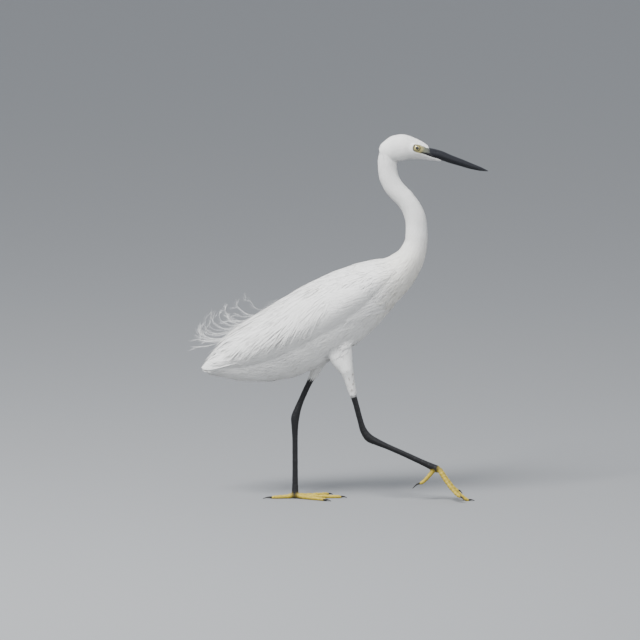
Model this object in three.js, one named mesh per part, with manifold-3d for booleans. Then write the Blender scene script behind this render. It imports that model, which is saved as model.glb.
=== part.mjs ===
// Little egret in a slow walk: left foot flat, right foot coming down on its middle toe.
// Millimetres, X towards the bill, Y towards the bird's left, Z up, floor at Z = 0.
import * as THREE from "three";
import { mergeVertices } from "three/addons/utils/BufferGeometryUtils.js";
import Module from "manifold-3d";

const wasm = await Module();
wasm.setup();

// Gap kept between neighbouring pieces
const GAP = 0.3;

// Spine from the back of the head to the rump: [x, z, half depth, half width]
const SPINE = [
  [91, 471, 11.5, 9.5],
  [89.5, 453.5, 12.4, 9.8],
  [91, 437, 12.8, 10],
  [95.5, 425.5, 12.8, 10.2],
  [103, 415, 12.7, 10.6],
  [112.8, 405.2, 12.7, 11],
  [121.3, 393, 13.1, 11.6],
  [127, 379, 13.9, 12.4],
  [128.4, 363.4, 14.3, 13.4],
  [128, 348.6, 15, 15],
  [124.4, 334.5, 17.3, 17.5],
  [117, 320.6, 20.6, 21],
  [99, 302.2, 27.4, 27],
  [78.6, 290, 35.3, 33],
  [61.3, 279.3, 41.8, 37],
  [42.7, 266.5, 46.9, 39],
  [22.7, 253, 50.4, 40],
  [-0.7, 239, 51.7, 40],
  [-26, 224, 51.3, 39],
  [-53.3, 210, 48, 36],
  [-81.3, 198.5, 41.3, 30],
  [-108.6, 189, 30.5, 23],
  [-133, 182, 17, 15],
  [-148, 176.5, 8, 8],
];
// Numbers of the spine rows where one piece ends and the next begins
const SPINE_CUTS = { throat: 1.15, crook: 4.3, bow: 7.6, root: 10.2, breast: 12.2, rump: 22.5 };
// The belly is narrower than the back by this share of the width
const KEEL = 0.1;

// Head from nape to the chin feathers under the bill: [x, z, half depth, half width]
const HEAD = [
  [79.6, 466.5, 6, 5.5],
  [84, 467.6, 12, 9],
  [93.3, 470.2, 16.3, 12],
  [101.3, 472.5, 17.8, 13],
  [109.3, 473.8, 17.8, 13.3],
  [117.3, 473.6, 16.1, 12.6],
  [125.3, 472.2, 14.5, 11.4],
  [133.3, 470.1, 12.7, 9.8],
  [141.3, 466.4, 10.1, 8],
  [147.5, 462.6, 7.4, 6.6],
  [154, 459.2, 4.3, 5],
  [162, 456.3, 1.5, 2],
];

// Bill from its root inside the face to the tip: [x, z, half depth, half width]
const BILL = [
  [136, 467.2, 6.9, 6],
  [146.6, 466, 6.7, 6],
  [160, 463.2, 6, 5.1],
  [173.3, 458.2, 5.3, 4.3],
  [186.6, 453.7, 4.7, 3.5],
  [200, 449, 3.9, 2.7],
  [213.3, 445, 2.5, 1.7],
  [223.5, 442.2, 0.45, 0.5],
];
// Line between the mandibles: [x, z]
const GAPE = [
  [130, 470],
  [146.6, 464.2],
  [160, 461.4],
  [186.6, 452.6],
  [213.3, 444.5],
  [228, 441.2],
];

// Reach of the slab that parts the lower mandible from the upper one
const BELOW_GAPE = { depth: 80, halfSpan: 20 };

const EYE = { x: 128.6, z: 474.2, side: 6.3, radius: 5.4 };

// A folded wing: its thickness, how far its underside is raised as a share of the body's depth,
// the range of side positions that it may fill, and its outline seen from the side [x, z]
const WING = { thickness: 8, lift: 0.2, inner: 2, outer: 80 };
// Spine rows over which the wing grows thick behind its bend, and thin again towards its tip
const WING_EASE = { thick: [11, 15], thin: [20, 24] };
const WING_OUTLINE = [
  [88, 274],
  [83, 259],
  [62, 259],
  [30, 249],
  [-13, 225],
  [-60, 203],
  [-100, 192],
  [-130, 184],
  [-150, 179],
  [-158, 177],
  [-156, 184],
  [-127, 203],
  [-93, 224],
  [-47, 253],
  [0, 279],
  [40, 292],
  [70, 288],
];

// Long plumes laid over the rear of the back: a shell, cut to an outline [along the back, side]
// that is measured from a point of the spine and tilted with the back
const PLUMES = { x: -52, z: 222, tilt: 25.7, reach: 80, thickness: 3.5, firstRow: 14 };
const PLUMES_OUTLINE = [
  [108, 0],
  [76, 24],
  [10, 34],
  [-45, 31],
  [-84, 17],
  [-98, 0],
];
// Loose curled plume tips: radius at both ends, and bend points [x, y, z] from the root
const WISP = { root: 1.5, tip: 0.5 };
const WISPS = [
  [[-96, 4, 228], [-119, 5, 230], [-138, 4, 224], [-151, 2, 229], [-153, 0, 240], [-148, -1, 250]],
  [[-100, -7, 226], [-122, -9, 222], [-143, -10, 217], [-156, -8, 222], [-160, -5, 233]],
  [[-76, -4, 238], [-94, -5, 244], [-112, -5, 242], [-123, -3, 248], [-126, 0, 257]],
  [[-112, 9, 218], [-132, 12, 213], [-150, 11, 214], [-160, 9, 221]],
  [[-56, 3, 250], [-70, 4, 257], [-85, 4, 259], [-94, 3, 266]],
];

// Tail: [x, z, half thickness, half width]
const TAIL = [
  [-78, 196, 2, 13],
  [-110, 184.5, 2, 18],
  [-140, 176, 1.8, 20],
  [-154, 173, 1.5, 17],
  [-160.5, 172, 1, 8],
];

// Legs seen from the side, thigh to foot joint: [x, z, half depth, half width]
const LEG_RIGHT = [
  [13, 238, 21, 7],
  [22, 212, 20.5, 12],
  [30, 190, 14.2, 11],
  [36, 175.4, 8.8, 7.8],
  [39.8, 161.9, 6.3, 6],
  [43.2, 147.8, 4.7, 4.6],
  [48, 130.7, 3.8, 3.8],
  [53.3, 110.5, 3.8, 3.8],
  [58, 95.7, 4.6, 4.6],
  [65.2, 85.6, 5.6, 5.2],
  [76, 79.8, 4.7, 4.6],
  [93.3, 72, 3.7, 3.4],
  [113.3, 63, 3.7, 3.3],
  [136, 52.3, 3.9, 3.6],
  [156, 43, 4.9, 4.8],
];
const LEG_LEFT = [
  [25, 246, 19, 7],
  [18, 222, 20, 12],
  [8, 200, 14, 11],
  [-0.8, 182.5, 8.6, 7.8],
  [-5.8, 172, 6, 6],
  [-8.3, 167, 4.7, 4.6],
  [-16, 152, 3.8, 3.8],
  [-23.3, 136, 3.8, 3.8],
  [-29.3, 121.3, 4.5, 4.6],
  [-33.1, 108.5, 5.6, 5.2],
  [-33.6, 97, 4.6, 4.6],
  [-33.4, 78, 3.7, 3.4],
  [-33.3, 42, 3.7, 3.3],
  [-33.3, 17.7, 4, 3.7],
  [-33.3, 4.6, 4.9, 4.8],
];
// Rows where the feathers end and where the ankle is parted
const LEG_CUTS = { feathers: 5, ankle: 9 };
// Distance of hip and foot from the middle plane, and the height of the hip
const STANCE = { hipSide: 19, footSide: 9, hipHeight: 205 };

// Toes: heading from straight ahead in degrees (outwards is plus), length, length of the claw
const TOES = [
  ["middle", 2, 57, 9],
  ["inner", -29, 43, 8.5],
  ["outer", 30, 47, 8],
  ["hallux", 186, 27, 13],
];
// Toe radius at both ends, distance of its root from the joint, depth of the flat sole,
// rise at the root and the share of the length that it takes, the number and swelling of the pads
const TOE = {
  base: 2.9,
  tip: 2,
  start: 3.6,
  flat: 0.35,
  rise: 1.6,
  riseShare: 0.3,
  pads: 4,
  swelling: 0.14,
  rows: 10,
};
// The lifted foot: how its toes curve down, where 1 is straight, and the middle toe's height at its tip
const STEP = { curve: 1.15, tipHeight: 1.15 };
const CLAW = { base: 1.55, tip: 0.35, arch: 0.7, clearance: 0.5, slope: 0.55, rows: 4 };

// Segments round and along each kind of piece
const MESH = {
  trunk: [20, 14],
  neck: [16, 5],
  head: [16, 11],
  eye: [10, 7],
  bill: [12, 8],
  tail: [14, 5],
  thigh: [12, 6],
  leg: [10, 7],
  joint: [10, 6],
  toe: [7, 6],
  claw: [6, 3],
  wisp: [5, 6],
};
// Points along each curve between two bends of an outline
const OUTLINE_STEPS = 2;

const plumage = new THREE.MeshStandardMaterial({ color: 0xf3f2ee, roughness: 0.85, metalness: 0 });
const shadedPlume = new THREE.MeshStandardMaterial({ color: 0xeceae2, roughness: 0.8, metalness: 0 });
const horn = new THREE.MeshStandardMaterial({ color: 0x1c1d21, roughness: 0.38, metalness: 0 });
const blackLeg = new THREE.MeshStandardMaterial({ color: 0x15151a, roughness: 0.42, metalness: 0 });
const yellowToe = new THREE.MeshStandardMaterial({ color: 0xc4b13c, roughness: 0.5, metalness: 0 });
const iris = new THREE.MeshStandardMaterial({ color: 0xdcd391, roughness: 0.12, metalness: 0 });

const egret = new THREE.Group();
const { smoothstep, lerp } = THREE.MathUtils;
const degrees = Math.PI / 180;
const sideways = new THREE.Vector3(0, 1, 0);

// A path through rows of [x, y, z, half depth, half width]
function makePath(rows) {
  const line = new THREE.CatmullRomCurve3(rows.map((row) => new THREE.Vector3(row[0], row[1], row[2])));
  const sizes = new THREE.CatmullRomCurve3(rows.map((row) => new THREE.Vector3(row[3], row[4], 0)));
  return { line, sizes, last: rows.length - 1 };
}

// Rows drawn in side view, put at a side position that may change with height
function atSide(rows, sideOf = () => 0) {
  return rows.map(([x, z, depth, width]) => [x, sideOf(z), z, depth, width]);
}

// The two directions across a path: depth points under the body, width points to its left
function acrossPath(path, t) {
  const along = path.line.getTangent(t);
  const width = sideways.clone().addScaledVector(along, -sideways.dot(along)).normalize();
  const depth = along.clone().cross(width);
  return { along, width, depth };
}

// A closed tube of elliptic rings that follows a path between two of its rows.
// grow widens it all round, keel narrows its under side, lift keeps the back line and raises the belly
function tubeAlong(path, [sides, rings], options = {}) {
  const { from = 0, to = path.last, grow = 0, keel = 0, lift = 0 } = options;
  const tube = new THREE.CylinderGeometry(1, 1, 1, sides, rings);
  const points = tube.attributes.position;
  for (let i = 0; i < points.count; i += 1) {
    const share = 0.5 - points.getY(i);
    const t = (from + (to - from) * share) / path.last;
    const { along, width, depth } = acrossPath(path, t);
    const size = path.sizes.getPoint(t);
    const under = points.getZ(i);
    const halfDepth = size.x * (1 - lift) + grow;
    const halfWidth = size.y * (1 - keel * Math.max(under, 0)) + grow;
    const endShift = grow * (Math.round(share) === share ? Math.sign(share - 0.5) : 0);
    const point = path.line
      .getPoint(t)
      .addScaledVector(along, endShift)
      .addScaledVector(depth, halfDepth * under - size.x * lift)
      .addScaledVector(width, halfWidth * points.getX(i));
    points.setXYZ(i, point.x, point.y, point.z);
  }
  return tube;
}

// Geometry to solid and back
function toSolid(geometry) {
  const bare = geometry.clone();
  bare.deleteAttribute("normal");
  bare.deleteAttribute("uv");
  const merged = mergeVertices(bare, 1e-3);
  const mesh = new wasm.Mesh({
    numProp: 3,
    vertProperties: new Float32Array(merged.attributes.position.array),
    triVerts: new Uint32Array(merged.index.array),
  });
  return new wasm.Manifold(mesh);
}

function toGeometry(solid) {
  const mesh = solid.getMesh();
  const geometry = new THREE.BufferGeometry();
  geometry.setAttribute("position", new THREE.BufferAttribute(mesh.vertProperties, 3));
  geometry.setIndex(new THREE.BufferAttribute(mesh.triVerts, 1));
  geometry.computeVertexNormals();
  return geometry;
}

// One sub-part, without the crumbs that a cut may leave
function addPart(name, solid, material) {
  const whole = solid.decompose().sort((one, other) => other.volume() - one.volume())[0];
  const mesh = new THREE.Mesh(toGeometry(whole), material);
  mesh.name = name;
  egret.add(mesh);
}

// A smooth closed outline through its corner points
function smoothShape(outline) {
  const closed = new THREE.CatmullRomCurve3(outline.map(([u, v]) => new THREE.Vector3(u, v, 0)), true);
  const points = closed.getPoints(outline.length * OUTLINE_STEPS);
  return new THREE.Shape(points.map((point) => new THREE.Vector2(point.x, point.y)));
}

// A slab with an outline in side view, between two side positions
function sideSlab(shape, nearY, farY) {
  const slab = new THREE.ExtrudeGeometry(shape, { depth: farY - nearY, bevelEnabled: false });
  slab.rotateX(Math.PI / 2);
  slab.translate(0, farY, 0);
  return toSolid(slab);
}

// A ball, for the eyes and the ends of the legs
function ball(radius, centre, [around, down]) {
  return toSolid(new THREE.SphereGeometry(radius, around, down).translate(centre.x, centre.y, centre.z));
}

// Everything above the floor
const aboveFloor = toSolid(new THREE.BoxGeometry(900, 400, 900).translate(0, 0, 450));

const spine = makePath(atSide(SPINE));
const headPath = makePath(atSide(HEAD));
const billPath = makePath(atSide(BILL));

// Bill, parted along the gape
const bill = toSolid(tubeAlong(billPath, MESH.bill));
const billRoom = toSolid(tubeAlong(billPath, MESH.bill, { grow: GAP }));

function belowGape(offset) {
  const gape = new THREE.SplineCurve(GAPE.map(([x, z]) => new THREE.Vector2(x, z + offset)));
  const below = GAPE[0][1] - BELOW_GAPE.depth;
  const shape = new THREE.Shape([
    ...gape.getPoints(GAPE.length * OUTLINE_STEPS),
    new THREE.Vector2(GAPE.at(-1)[0], below),
    new THREE.Vector2(GAPE[0][0], below),
  ]);
  return sideSlab(shape, -BELOW_GAPE.halfSpan, BELOW_GAPE.halfSpan);
}

addPart("bill_upper", bill.subtract(belowGape(GAP / 2)), horn);
addPart("bill_lower", bill.intersect(belowGape(-GAP / 2)), horn);

// Head with its eye sockets, ending at a flat cut across the throat
const eyes = [["eye_left", 1], ["eye_right", -1]].map(([name, hand]) => {
  const centre = new THREE.Vector3(EYE.x, hand * EYE.side, EYE.z);
  addPart(name, ball(EYE.radius, centre, MESH.eye), iris);
  return ball(EYE.radius + GAP, centre, MESH.eye);
});
const throat = toSolid(tubeAlong(spine, MESH.neck, { to: SPINE_CUTS.throat }));
const head = toSolid(tubeAlong(headPath, MESH.head))
  .add(throat)
  .subtract(eyes[0])
  .subtract(eyes[1])
  .subtract(billRoom);
addPart("head", head, plumage);

// Row number a short distance further along a path
function rowAfter(path, row, distance) {
  const step = 0.01;
  const here = path.line.getPoint(row / path.last);
  const there = path.line.getPoint((row + step) / path.last);
  return row + (step * distance) / here.distanceTo(there);
}

// Neck in four lengths
const neckCuts = [
  ["neck_upper", SPINE_CUTS.throat, SPINE_CUTS.crook],
  ["neck_middle", SPINE_CUTS.crook, SPINE_CUTS.bow],
  ["neck_lower", SPINE_CUTS.bow, SPINE_CUTS.root],
  ["neck_root", SPINE_CUTS.root, SPINE_CUTS.breast],
];
const headRoom = toSolid(tubeAlong(headPath, MESH.head, { grow: GAP }));
neckCuts.forEach(([name, from, to]) => {
  const length = toSolid(tubeAlong(spine, MESH.neck, { from: rowAfter(spine, from, GAP), to }));
  addPart(name, name === "neck_upper" ? length.subtract(headRoom) : length, plumage);
});

// Tail
const tailPath = makePath(atSide(TAIL));
const tail = toSolid(tubeAlong(tailPath, MESH.tail));
const tailRoom = toSolid(tubeAlong(tailPath, MESH.tail, { grow: GAP }));
addPart("tail", tail, plumage);

// Back plumes: a shell of the body's outline, and the loose tips that stand out from it
const fullBody = { keel: KEEL, lift: WING.lift };
const winged = makePath(atSide(SPINE.map(([x, z, depth, width], row) => {
  const thick = smoothstep(row, ...WING_EASE.thick) - smoothstep(row, ...WING_EASE.thin);
  return [x, z, depth, width + WING.thickness * thick];
})));

function plumeShell(grow) {
  const sidePoints = PLUMES_OUTLINE.map(([u, v]) => [u + Math.sign(u) * grow, v + Math.sign(v) * grow]);
  const otherSide = sidePoints.slice(1, -1).reverse();
  const shape = smoothShape([...sidePoints, ...otherSide.map(([u, v]) => [u, -v])]);
  const topView = new THREE.ExtrudeGeometry(shape, { depth: PLUMES.reach, bevelEnabled: false });
  topView.rotateY(-PLUMES.tilt * degrees);
  topView.translate(PLUMES.x, 0, PLUMES.z);
  const rows = { ...fullBody, from: PLUMES.firstRow };
  const outside = toSolid(tubeAlong(winged, MESH.trunk, { ...rows, grow }));
  const inside = toSolid(tubeAlong(winged, MESH.trunk, { ...rows, grow: -PLUMES.thickness - grow }));
  return outside.subtract(inside).intersect(toSolid(topView));
}

function wispTube(bends) {
  const rows = bends.map((bend, i) => {
    const radius = lerp(WISP.root, WISP.tip, i / (bends.length - 1));
    return [...bend, radius, radius];
  });
  return toSolid(tubeAlong(makePath(rows), MESH.wisp));
}

const plumesRoom = plumeShell(GAP);
addPart("plumes_back", plumeShell(0).subtract(tailRoom), shadedPlume);
WISPS.forEach((bends, i) => {
  addPart(`plume_tip_${i + 1}`, wispTube(bends).subtract(plumesRoom), shadedPlume);
});

// Trunk, and the wings folded against it
const trunkRows = { from: rowAfter(spine, SPINE_CUTS.breast, GAP), to: SPINE_CUTS.rump, keel: KEEL };
const trunk = toSolid(tubeAlong(spine, MESH.trunk, trunkRows)).subtract(plumesRoom).subtract(tailRoom);
const trunkRoom = toSolid(tubeAlong(spine, MESH.trunk, { ...trunkRows, grow: GAP }));
addPart("trunk", trunk, plumage);

const wingRows = { ...fullBody, from: trunkRows.from };
const wingBody = toSolid(tubeAlong(winged, MESH.trunk, wingRows));
const wingBodyRoom = toSolid(tubeAlong(winged, MESH.trunk, { ...wingRows, grow: GAP }));
const wingRooms = [];
const wingSides = [["wing_left", WING.inner, WING.outer], ["wing_right", -WING.outer, -WING.inner]];
wingSides.forEach(([name, near, far]) => {
  const outline = sideSlab(smoothShape(WING_OUTLINE), near, far);
  const wing = wingBody.intersect(outline).subtract(trunkRoom).subtract(plumesRoom).subtract(tailRoom);
  addPart(name, wing, plumage);
  wingRooms.push(wingBodyRoom.intersect(outline));
});

// Toes and claws of one foot, around its joint
function toePath(joint, hand, [, heading, length]) {
  const turn = heading * degrees;
  const ahead = new THREE.Vector3(Math.cos(turn), hand * Math.sin(turn), 0);
  const middleLength = TOES[0][2];
  const restHeight = TOE.base - TOE.flat;
  const lifted = joint.z > 2 * restHeight;
  const fall = ((joint.z - STEP.tipHeight) * length) / middleLength;
  const step = length / TOE.rows;
  const rows = [];
  let reach = TOE.start;
  let height = joint.z;
  for (let i = 0; i <= TOE.rows; i += 1) {
    const share = i / TOE.rows;
    const pad = 1 + TOE.swelling * Math.abs(Math.sin(TOE.pads * Math.PI * share));
    const radius = lerp(TOE.base, TOE.tip, share) * pad;
    const rise = TOE.rise * Math.max(1 - share / TOE.riseShare, 0) ** 2;
    const next = lifted ? joint.z - fall * (1 - (1 - share) ** STEP.curve) : radius - TOE.flat + rise;
    if (i > 0) reach += Math.sqrt(step ** 2 - (next - height) ** 2);
    height = next;
    rows.push([joint.x + ahead.x * reach, joint.y + ahead.y * reach, height, radius, radius]);
  }
  return rows;
}

function clawPath(toeRows, length) {
  const [before, end] = toeRows.slice(-2).map((row) => new THREE.Vector3(row[0], row[1], row[2]));
  const ahead = end.clone().sub(before).setZ(0).normalize();
  const fall = Math.min(end.z - CLAW.clearance, length * CLAW.slope);
  const reach = Math.sqrt(length ** 2 - fall ** 2);
  const rows = [];
  for (let i = 0; i <= CLAW.rows; i += 1) {
    const share = i / CLAW.rows;
    const point = end.clone().addScaledVector(ahead, reach * share);
    point.z += CLAW.arch * Math.sin(Math.PI * share) - fall * share ** 1.5;
    const radius = lerp(CLAW.base, CLAW.tip, share);
    rows.push([point.x, point.y, point.z, radius, radius * 0.8]);
  }
  return rows;
}

// Legs: feathered thigh, bare shank, tarsus with the foot joint, then the foot
function addLeg(side, hand, legRows) {
  const slant = (STANCE.hipSide - STANCE.footSide) / STANCE.hipHeight;
  const leg = makePath(atSide(legRows, (z) => hand * (STANCE.footSide + slant * z)));
  const joint = leg.line.getPoint(1);
  const { feathers, ankle } = LEG_CUTS;
  const thigh = toSolid(tubeAlong(leg, MESH.thigh, { to: feathers }));
  const outerThigh = wingRooms.reduce((rest, room) => rest.subtract(room), thigh.subtract(trunkRoom));
  addPart(`thigh_${side}`, outerThigh, plumage);
  const shank = toSolid(tubeAlong(leg, MESH.leg, { from: rowAfter(leg, feathers, GAP), to: ankle }));
  addPart(`shank_${side}`, shank.subtract(trunkRoom), blackLeg);
  const tarsus = toSolid(tubeAlong(leg, MESH.leg, { from: rowAfter(leg, ankle, GAP) }));
  const jointRadius = legRows.at(-1)[2];
  const withJoint = tarsus.add(ball(jointRadius, joint, MESH.joint));
  addPart(`tarsus_${side}`, withJoint.intersect(aboveFloor), blackLeg);
  const tarsusRoom = toSolid(tubeAlong(leg, MESH.leg, { from: ankle, grow: GAP }));
  let taken = ball(jointRadius + GAP, joint, MESH.joint).add(tarsusRoom);
  TOES.forEach((toe) => {
    const rows = toePath(joint, hand, toe);
    const path = makePath(rows);
    const toeSolid = toSolid(tubeAlong(path, MESH.toe)).subtract(taken).intersect(aboveFloor);
    addPart(`toe_${toe[0]}_${side}`, toeSolid, yellowToe);
    const toeRoom = toSolid(tubeAlong(path, MESH.toe, { grow: GAP }));
    taken = taken.add(toeRoom);
    const claw = toSolid(tubeAlong(makePath(clawPath(rows, toe[3])), MESH.claw));
    addPart(`claw_${toe[0]}_${side}`, claw.subtract(toeRoom).intersect(aboveFloor), horn);
  });
}

addLeg("right", -1, LEG_RIGHT);
addLeg("left", 1, LEG_LEFT);

// The origin lies on the floor under the middle of the whole bird
const bounds = new THREE.Box3().setFromObject(egret);
const middle = bounds.getCenter(new THREE.Vector3());
egret.position.set(-middle.x, -middle.y, -bounds.min.z);

export default egret;
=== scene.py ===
import math
import bpy
import numpy as np
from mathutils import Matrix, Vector


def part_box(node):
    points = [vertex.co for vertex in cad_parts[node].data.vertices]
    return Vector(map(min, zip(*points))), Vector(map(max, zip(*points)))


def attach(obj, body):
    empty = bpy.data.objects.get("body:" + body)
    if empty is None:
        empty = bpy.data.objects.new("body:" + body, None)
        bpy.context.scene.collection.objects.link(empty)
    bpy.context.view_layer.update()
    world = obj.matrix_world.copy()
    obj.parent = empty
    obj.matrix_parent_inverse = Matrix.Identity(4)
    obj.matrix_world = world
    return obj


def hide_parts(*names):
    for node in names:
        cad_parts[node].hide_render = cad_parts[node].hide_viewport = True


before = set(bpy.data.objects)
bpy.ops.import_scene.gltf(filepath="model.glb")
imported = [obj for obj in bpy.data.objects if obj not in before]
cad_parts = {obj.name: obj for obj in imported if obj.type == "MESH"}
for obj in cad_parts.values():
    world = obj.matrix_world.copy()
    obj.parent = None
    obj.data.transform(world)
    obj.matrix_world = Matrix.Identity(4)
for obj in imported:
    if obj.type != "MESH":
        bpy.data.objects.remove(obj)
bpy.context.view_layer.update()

# All shapes are drawn in millimetres on the same rows as the solids: [x, z, half depth, half width].
# The solids' frame is in metres and shifted along X, and the right eye tells by how much.
metre = 1000
millimetre = 0.001
eyeSettings = dict(x=128.6, z=474.2, side=6.3, radius=5.4)
eyeLow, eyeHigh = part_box("eye_right")
frameShift = 0.5 * (eyeLow.x + eyeHigh.x) * metre - eyeSettings["x"]

spineRows = [
    [91, 471, 11.5, 9.5], [89.5, 453.5, 12.4, 9.8], [91, 437, 12.8, 10], [95.5, 425.5, 12.8, 10.2],
    [103, 415, 12.7, 10.6], [112.8, 405.2, 12.7, 11], [121.3, 393, 13.1, 11.6], [127, 379, 13.9, 12.4],
    [128.4, 363.4, 14.3, 13.4], [128, 348.6, 15, 15], [124.4, 334.5, 17.3, 17.5], [117, 320.6, 20.6, 21],
    [99, 302.2, 27.4, 27], [78.6, 290, 35.3, 33], [61.3, 279.3, 41.8, 37], [42.7, 266.5, 46.9, 39],
    [22.7, 253, 50.4, 40], [-0.7, 239, 51.7, 40], [-26, 224, 51.3, 39], [-53.3, 210, 48, 36],
    [-81.3, 198.5, 41.3, 30], [-108.6, 189, 30.5, 23], [-133, 182, 17, 15], [-148, 176.5, 8, 8],
]
headRows = [
    [79.6, 466.5, 6, 5.5], [84, 467.6, 12, 9], [93.3, 470.2, 16.3, 12], [101.3, 472.5, 17.8, 13],
    [109.3, 473.8, 17.8, 13.3], [117.3, 473.6, 16.1, 12.6], [125.3, 472.2, 14.5, 11.4],
    [133.3, 470.1, 12.7, 9.8], [141.3, 466.4, 10.1, 8], [147.5, 462.6, 7.4, 6.6], [154, 459.2, 4.3, 5],
    [162, 456.3, 1.5, 2],
]
billRows = [
    [136, 467.2, 6.9, 6], [146.6, 466, 6.7, 6], [160, 463.2, 6, 5.1], [173.3, 458.2, 5.3, 4.3],
    [186.6, 453.7, 4.7, 3.5], [200, 449, 3.9, 2.7], [213.3, 445, 2.5, 1.7], [223.5, 442.2, 0.45, 0.5],
]
gapeRows = [[130, 470], [146.6, 464.2], [160, 461.4], [186.6, 452.6], [213.3, 444.5], [228, 441.2]]
legRows = {
    -1: [
        [13, 238, 21, 7], [22, 212, 20.5, 12], [30, 190, 14.2, 11], [36, 175.4, 8.8, 7.8],
        [39.8, 161.9, 6.3, 6], [43.2, 147.8, 4.7, 4.6], [48, 130.7, 3.8, 3.8], [53.3, 110.5, 3.8, 3.8],
        [58, 95.7, 4.6, 4.6], [65.2, 85.6, 5.6, 5.2], [76, 79.8, 4.7, 4.6], [93.3, 72, 3.7, 3.4],
        [113.3, 63, 3.7, 3.3], [136, 52.3, 3.9, 3.6], [156, 43, 4.9, 4.8],
    ],
    1: [
        [25, 246, 19, 7], [18, 222, 20, 12], [8, 200, 14, 11], [-0.8, 182.5, 8.6, 7.8], [-5.8, 172, 6, 6],
        [-8.3, 167, 4.7, 4.6], [-16, 152, 3.8, 3.8], [-23.3, 136, 3.8, 3.8], [-29.3, 121.3, 4.5, 4.6],
        [-33.1, 108.5, 5.6, 5.2], [-33.6, 97, 4.6, 4.6], [-33.4, 78, 3.7, 3.4], [-33.3, 42, 3.7, 3.3],
        [-33.3, 17.7, 4, 3.7], [-33.3, 4.6, 4.9, 4.8],
    ],
}
sideNames = {-1: "right", 1: "left"}
stance = dict(hipSide=19, footSide=9, hipHeight=205)
keel = 0.1
wing = dict(thickness=8, lift=0.2, thickRows=(11, 15), thinRows=(20, 24))


def smoothStep(x, low, high):
    s = np.clip((np.asarray(x, float) - low) / (high - low), 0, 1)
    return s * s * (3 - 2 * s)


def lerp(a, b, share):
    return a + (b - a) * share


def unit(v):
    return v / np.maximum(np.linalg.norm(v, axis=-1, keepdims=True), 1e-9)


def aroundRing(count):
    return np.linspace(0, 2 * np.pi, count, endpoint=False)


def crossed(a, b):
    return np.meshgrid(a, b, indexing="ij")


def splineAt(points, row):
    # Centripetal Catmull-Rom: between two points a cubic whose end slopes come from the neighbours,
    # each span weighted by the square root of its length.
    p = np.asarray(points, float)
    p = np.concatenate([[2 * p[0] - p[1]], p, [2 * p[-1] - p[-2]]])
    row = np.asarray(row, float)
    i = np.clip(np.floor(row).astype(int), 0, len(p) - 4)
    s = (row - i)[..., None]
    a, b, c, d = p[i], p[i + 1], p[i + 2], p[i + 3]
    ab, bc, cd = (np.maximum(np.linalg.norm(q - r, axis=-1, keepdims=True) ** 0.5, 1e-4)
                  for q, r in ((b, a), (c, b), (d, c)))
    slopeB = ((b - a) / ab - (c - a) / (ab + bc) + (c - b) / bc) * bc
    slopeC = ((c - b) / bc - (d - b) / (bc + cd) + (d - c) / cd) * bc
    return (b + slopeB * s + (-3 * b + 3 * c - 2 * slopeB - slopeC) * s ** 2
            + (2 * b - 2 * c + slopeB + slopeC) * s ** 3)


def makePath(rows):
    # rows are [x, y, z, half depth, half width]
    rows = np.asarray(rows, float)
    return dict(line=rows[:, :3], sizes=rows[:, 3:], last=len(rows) - 1)


def inProfile(rows, sideOf=lambda z: 0.0):
    return [[x, sideOf(z), z, depth, width] for x, z, depth, width in rows]


def pathFrame(path, row):
    # Centre, direction along, direction of the depth and of the width, half depth and half width
    row = np.asarray(row, float)
    centre = splineAt(path["line"], row)
    step = 0.01
    along = unit(splineAt(path["line"], row + step) - splineAt(path["line"], row - step))
    sideways = np.array([0.0, 1.0, 0.0])
    width = unit(sideways - along * along[..., 1:2])
    depth = np.cross(along, width)
    sizes = splineAt(path["sizes"], row)
    return centre, along, depth, width, sizes[..., 0], sizes[..., 1]


def loftPoint(path, row, angle, grow=0.0, keel=0.0, lift=0.0):
    # A ring round the path: depth times the cosine under it, width times the sine to its left.
    # keel narrows the under side, lift keeps the back line and raises the belly.
    row, angle, grow = np.broadcast_arrays(row, angle, grow)
    centre, _, depth, width, halfDepth, halfWidth = pathFrame(path, row)
    under = np.cos(angle)
    down = (halfDepth * (1 - lift) + grow) * under - halfDepth * lift
    out = (halfWidth * (1 - keel * np.maximum(under, 0)) + grow) * np.sin(angle)
    return centre + depth * down[..., None] + width * out[..., None]


spinePath = makePath(inProfile(spineRows))
headPath = makePath(inProfile(headRows))
billPath = makePath(inProfile(billRows))
wingSwell = wing["thickness"] * (smoothStep(np.arange(24), *wing["thickRows"])
                                 - smoothStep(np.arange(24), *wing["thinRows"]))
wingedPath = makePath([[x, 0, z, depth, width + swell]
                       for (x, z, depth, width), swell in zip(spineRows, wingSwell)])


def legSide(hand):
    slant = (stance["hipSide"] - stance["footSide"]) / stance["hipHeight"]
    return lambda z: hand * (stance["footSide"] + slant * z)


legPaths = {hand: makePath(inProfile(rows, legSide(hand))) for hand, rows in legRows.items()}


def lofted(path, *shape):
    # A surface gives a point for two parameters and a height over the solid's own surface
    return lambda u, v, height=0.0: loftPoint(path, u, v, height, *shape)


spineSurface = lofted(spinePath, keel)
sideSheet = lofted(wingedPath, keel, wing["lift"])
headSurface = lofted(headPath)

# Materials

scuteBeat = 30


def newMaterial(name, colour, roughness, **sockets):
    material = bpy.data.materials.new(name)
    material.use_nodes = True
    shader = material.node_tree.nodes["Principled BSDF"]
    shader.inputs["Base Color"].default_value = (*colour, 1)
    shader.inputs["Roughness"].default_value = roughness
    for socket, value in sockets.items():
        shader.inputs[socket.replace("_", " ")].default_value = value
    return material, shader


def addNode(material, kind, settings=None, **inputs):
    node = material.node_tree.nodes.new("ShaderNode" + kind)
    for key, value in (settings or {}).items():
        setattr(node, key, value)
    for key, value in inputs.items():
        node.inputs[key.replace("_", " ")].default_value = value
    return node


def wire(material, *wires):
    # Each wire is a node and its output, then a node and its input
    for source, output, target, socket in wires:
        material.node_tree.links.new(source.outputs[output], target.inputs[socket])


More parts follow.
